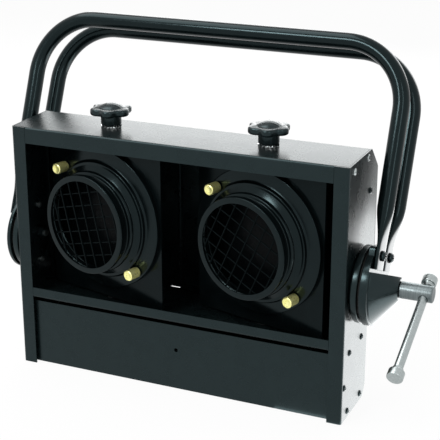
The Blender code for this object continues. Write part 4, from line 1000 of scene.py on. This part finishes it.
def build_yoke():
    for side, word in ((-1, "front"), (1, "rear")):
        tube_skin = at_pivot(hoop(side), -YOKE_LEAN)
        done(tube_skin, "tube_" + word, ENAMEL, "black_powder_coat", "yoke", "hoop_" + word)
    for side, word in ((-1, "left"), (1, "right")):
        for row, where in ((-1, "front"), (1, "rear")):
            bolt = bracket_bolt()
            if side < 0:
                mirrored(bolt)
            move(bolt, Matrix.Translation((0, row * FLAT_SPREAD, BRACKET_BOLT_HEIGHT)))
            at_pivot(bolt, -YOKE_LEAN)
            node = f"bracket_bolt_{word}_{where}"
            done(bolt, f"bolt_{word}_{where}", CASTING, "bright_steel", "yoke", node)


# Lamp heads, in the frame of their pan axis

def snoot():
    ring = FRONT_RING_DIAMETER / 2
    barrel = BARREL_DIAMETER / 2
    bead = BEAD_DIAMETER / 2
    base = BASE_RING_DIAMETER / 2
    flange = FLANGE_DIAMETER / 2
    edge = FLANGE_EDGE
    ring_back = SNOOT_FRONT - FRONT_RING_LENGTH
    bead_front = BEAD_AHEAD + BEAD_WIDTH / 2
    bead_back = BEAD_AHEAD - BEAD_WIDTH / 2
    slope = between(bead, base, BEAD_SLOPE_SHARE)
    outer = softened([
        (APERTURE_DIAMETER / 2, SNOOT_FRONT), (ring, SNOOT_FRONT), (ring, ring_back),
        (barrel, ring_back - edge), (barrel, bead_front + edge / 2), (bead - edge / 2, bead_front),
        (bead, BEAD_AHEAD), (bead - edge, bead_back), (slope, BASE_RING_AHEAD), (base, BASE_RING_AHEAD),
        (base, FLANGE_AHEAD + edge / 2), (base + edge, FLANGE_AHEAD), (flange, FLANGE_AHEAD - FLANGE_CONE),
        (flange, HEAD_AHEAD + GAP),
    ], SNOOT_EDGE, steps=5)
    inner = beside(outer, -SNOOT_WALL)
    return turned("snoot", outer + inner[::-1], FINE, "-y")


def wire_grid(turn, shifts):
    """Two layers of round wires laid across each other and welded to a ring."""
    pieces = []
    rim = []
    for i in range(FINE):
        angle = 2 * math.pi * i / FINE
        rim.append((GRID_RADIUS * math.cos(angle), GRID_RADIUS * math.sin(angle), 0))
    pieces.append(tube("rim", rim, GRID_RIM_WIRE / 2, GRID_RIM_SIDES, closed=True))
    reach = APERTURE_DIAMETER / 2 - GRID_WIRE
    count = math.ceil(reach / GRID_PITCH)
    for layer, direction, shift in ((1, turn, shifts[0]), (-1, turn + math.pi / 2, shifts[1])):
        height = layer * GRID_WIRE * GRID_LAYER
        for i in range(-count, count + 1):
            offset = (i + shift) * GRID_PITCH
            if abs(offset) > reach:
                continue
            half = math.sqrt(GRID_RADIUS ** 2 - offset ** 2)
            ends = [(offset, -half, height), (offset, half, height)]
            wire = tube("wire", ends, GRID_WIRE / 2, GRID_WIRE_SIDES)
            pieces.append(move(wire, Matrix.Rotation(direction, 4, "Z")))
    grid = merged("grid", pieces)
    return move(grid, Matrix.Translation((0, -GRID_AHEAD, 0)) @ AXES["-y"])


def lamp_lens():
    """Front half of the lamp: its domed lens and rolled rim."""
    front = PLATE_BACK
    dome = []
    for i in range(DOME_STEPS + 1):
        share = i / DOME_STEPS
        dome.append((LAMP_LENS * i / DOME_STEPS, front + LAMP_DOME * (1 - share ** 2)))
    back = front - LAMP_RIM_LENGTH
    line = [
        *dome, (LAMP_RIM, front - LAMP_RIM_STEP), (LAMP_RIM, back), (LAMP_LENS, back),
        (LAMP_LENS, front - LAMP_LENS_WALL), (0, front + LAMP_DOME - LAMP_LENS_WALL),
    ]
    return turned("lens", line, FINE, "-y")


def lamp_bowl():
    """Rear half of the lamp, an open shell that narrows to its neck."""
    front = PLATE_BACK
    back = front - LAMP_RIM_LENGTH
    neck = front - LAMP_DEPTH
    outer = []
    for i in range(LAMP_BOWL_STEPS + 1):
        depth = i / LAMP_BOWL_STEPS
        radius = between(LAMP_LENS, LAMP_NECK, depth ** LAMP_BOWL_CURVE)
        outer.append(Vector((radius, between(back, neck, depth))))
    outer.append(Vector((LAMP_NECK, neck - LAMP_NECK_LENGTH)))
    outer.append(Vector((LAMP_NECK * LAMP_NECK_BORE, neck - LAMP_NECK_LENGTH)))
    inner = beside(outer, -LAMP_BOWL_WALL)
    inner[0] = Vector((LAMP_LENS - LAMP_BOWL_WALL, back))
    return turned("bowl", outer + inner[::-1], FINE, "-y")


def thumb_nut():
    """Knurled nut with a dimpled end, standing ahead of its seat."""
    radius = NUT_DIAMETER / 2
    chamfer = NUT_CHAMFER
    layers = [
        (0.0, radius - chamfer), (chamfer, radius), (NUT_LENGTH - chamfer, radius),
        (NUT_LENGTH - chamfer / 3, radius - chamfer * NUT_SLOPES[0]),
        (NUT_LENGTH, radius - chamfer * NUT_SLOPES[1]),
    ]
    for depth, share in zip(NUT_DIMPLE_DEPTHS, NUT_DIMPLE_RADII):
        layers.append((NUT_LENGTH - depth, radius * share))
    steps = NUT_FLUTES * 2
    vertices = []
    for number, (height, reach) in enumerate(layers):
        for i in range(steps):
            angle = 2 * math.pi * i / steps
            flute = NUT_FLUTE_DEPTH if i % 2 and number in (1, 2) else 0.0
            vertices.append(((reach - flute) * math.cos(angle), (reach - flute) * math.sin(angle), height))
    return move(joined_rings("nut", vertices, steps), AXES["-y"])


def star_outline():
    """Outline of the knob's lobed head."""
    points = []
    count = KNOB_LOBES * KNOB_LOBE_POINTS
    for i in range(count):
        angle = 2 * math.pi * i / count
        swing = (1 + math.cos(KNOB_LOBES * angle)) / 2
        reach = KNOB_DIAMETER / 2 - KNOB_LOBE_DEPTH * (1 - swing) ** KNOB_LOBE_POWER
        points.append((reach * math.cos(angle), reach * math.sin(angle)))
    return points


def star_knob():
    """Lobed head with rounded edges, a domed middle and a round hub."""
    head = KNOB_BASE + KNOB_HUB
    top = head + KNOB_HEAD
    lobed = prism("head", star_outline(), head, top, KNOB_EDGE, steps=5)
    dome = KNOB_DOME_DIAMETER / 2
    curve = (dome ** 2 + KNOB_DOME ** 2) / (2 * KNOB_DOME)
    arch = []
    for i in range(DOME_STEPS + 1):
        reach = dome * i / DOME_STEPS
        height = top - KNOB_DOME_SINK + KNOB_DOME - curve + math.sqrt(curve ** 2 - reach ** 2)
        arch.append((reach, height))
    inside = head + 2 * KNOB_OVERLAP
    cap = turned("cap", [*arch, (dome, inside), (0, inside)], MEDIUM)
    hub = KNOB_HUB_DIAMETER / 2
    under = head + KNOB_OVERLAP
    points = [(0, under), (hub, under), (hub, KNOB_BASE), (0, KNOB_BASE)]
    neck = turned("neck", softened(points, KNOB_HUB_EDGE, steps=5), MEDIUM)
    return combine(lobed, [cap, neck], "UNION")


def lock_washer():
    """Thin ring whose outer teeth are each twisted out of its plane."""
    middle = HOUSING_HEIGHT + GAP + LOCK_WASHER_HEIGHT / 2
    tip = LOCK_WASHER_DIAMETER / 2
    root = tip - LOCK_WASHER_TOOTH
    half = LOCK_WASHER_SHEET / 2
    bore = LOCK_WASHER_BORE / 2
    pieces = [turned("ring", [(bore, -half), (root, -half), (root, half), (bore, half)], MEDIUM)]
    width = math.pi * root / LOCK_WASHER_TEETH * LOCK_WASHER_TOOTH_SHARE
    for i in range(LOCK_WASHER_TEETH):
        tooth = face_outwards(block((root - GAP, -width, -half), (tip, width, half)))
        move(tooth, Matrix.Rotation(LOCK_WASHER_TWIST, 4, "X"))
        pieces.append(move(tooth, Matrix.Rotation(2 * math.pi * i / LOCK_WASHER_TEETH, 4, "Z")))
    return move(merged("washer", pieces), Matrix.Translation((0, 0, middle)))


def on_pan_axis(side, height):
    """Takes a piece from the origin to a head's pan axis, turned as the head is at rest."""
    at = (side * PAN_SPACING / 2, PAN_Y, height)
    return Matrix.Translation(at) @ Matrix.Rotation(-REST_PAN, 4, "Z")


def build_head(word, side):
    place = on_pan_axis(side, LAMP_HEIGHT)
    body = "head_" + word
    done(move(snoot(), place), "snoot_skin_" + word, SNOOT_SHADE, "black_powder_coat", body, "snoot_" + word)
    grid = move(wire_grid(GRID_TURNS[word], GRID_SHIFTS[word]), place)
    done(grid, "grid_wires_" + word, WIRES, "black_powder_coat", body, "wire_grid_" + word)
    done(move(lamp_lens(), place), "lamp_lens_" + word, LENS, "lamp_glass", body, "lamp_" + word)
    done(move(lamp_bowl(), place), "lamp_bowl_" + word, SILVER, "lamp_glass", body)
    for row, where in ((1, "upper"), (-1, "lower")):
        seat = (-row * NUT_OFFSET, -NUT_SEAT - GAP, row * NUT_OFFSET)
        nut = move(thumb_nut(), Matrix.Translation(seat))
        done(move(nut, place), f"knurled_nut_{word}_{where}", BRASS, "brass", f"nut_{word}_{where}",
             f"thumb_nut_{word}_{where}")
    on_top = on_pan_axis(side, 0)
    knob = move(star_knob(), on_top)
    done(knob, "knob_" + word, PLASTIC, "black_plastic", "knob_" + word, "star_knob_" + word)
    washer = move(lock_washer(), on_top)
    done(washer, "washer_teeth_" + word, BRIGHT, "bright_steel", "knob_" + word, "lock_washer_" + word)


# Studio

def area_light(name, at, towards, size, strength):
    lamp = bpy.data.lights.new(name, "AREA")
    lamp.shape = "RECTANGLE"
    lamp.size = size[0]
    lamp.size_y = size[1]
    lamp.energy = strength
    light = bpy.data.objects.new(name, lamp)
    light.location = at
    light.rotation_euler = (Vector(towards) - Vector(at)).to_track_quat("-Z", "Y").to_euler()
    light.visible_camera = False
    bpy.context.scene.collection.objects.link(light)
    return light


def leave_out(light, pieces):
    """Keeps a lamp off some of the pieces."""
    group = bpy.data.collections.new(light.name + "_leaves_out")
    for piece in pieces:
        group.objects.link(piece)
    light.light_linking.receiver_collection = group
    for member in group.collection_objects:
        member.light_linking.link_state = "EXCLUDE"


def lay_floor():
    reach = FLOOR_REACH
    corners = [(-reach, -reach, 0), (reach, -reach, 0), (reach, reach, 0), (-reach, reach, 0)]
    floor = new_piece("floor", corners, [(0, 1, 2, 3)])
    move(floor, Matrix.Translation((0, 0, -FLOOR_DROP)))
    floor.data.materials.append(floor_paper())


def set_lamps():
    lights = {name: area_light(name, *values) for name, values in LAMPS.items()}
    plated = [bpy.data.objects[name] for name in PLATED_PIECES]
    rear = [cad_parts[name] for name in REAR_SHEETS]
    leave_out(lights["low_light"], plated + rear)


def light_world():
    """White where it is seen, and dimmer where it lights the object."""
    world = bpy.data.worlds.new("studio")
    bpy.context.scene.world = world
    world.use_nodes = True
    tree = world.node_tree
    sky = tree.nodes["Background"]
    sky.inputs["Color"].default_value = (1, 1, 1, 1)
    strength = tree.nodes.new("ShaderNodeMapRange")
    strength.inputs["To Min"].default_value = SKY_ON_OBJECT
    strength.inputs["To Max"].default_value = SKY_SEEN
    tree.links.new(seen_directly(tree), strength.inputs["Value"])
    tree.links.new(strength.outputs["Result"], sky.inputs["Strength"])


def camera():
    data = bpy.data.cameras.new("camera")
    data.lens = CAMERA_LENS
    data.sensor_width = CAMERA_SENSOR
    data.clip_start = CAMERA_CLIP
    view = bpy.data.objects.new("camera", data)
    view.location = CAMERA_AT
    view.rotation_euler = Euler(CAMERA_TURN)
    bpy.context.scene.collection.objects.link(view)
    bpy.context.scene.camera = view


camera()
dress_nodes()
side_screws()
disc_screws()
build_pivots()
build_yoke()
build_head("left", -1)
build_head("right", 1)
lay_floor()
set_lamps()
light_world()
bpy.context.scene.view_settings.view_transform = "Standard"
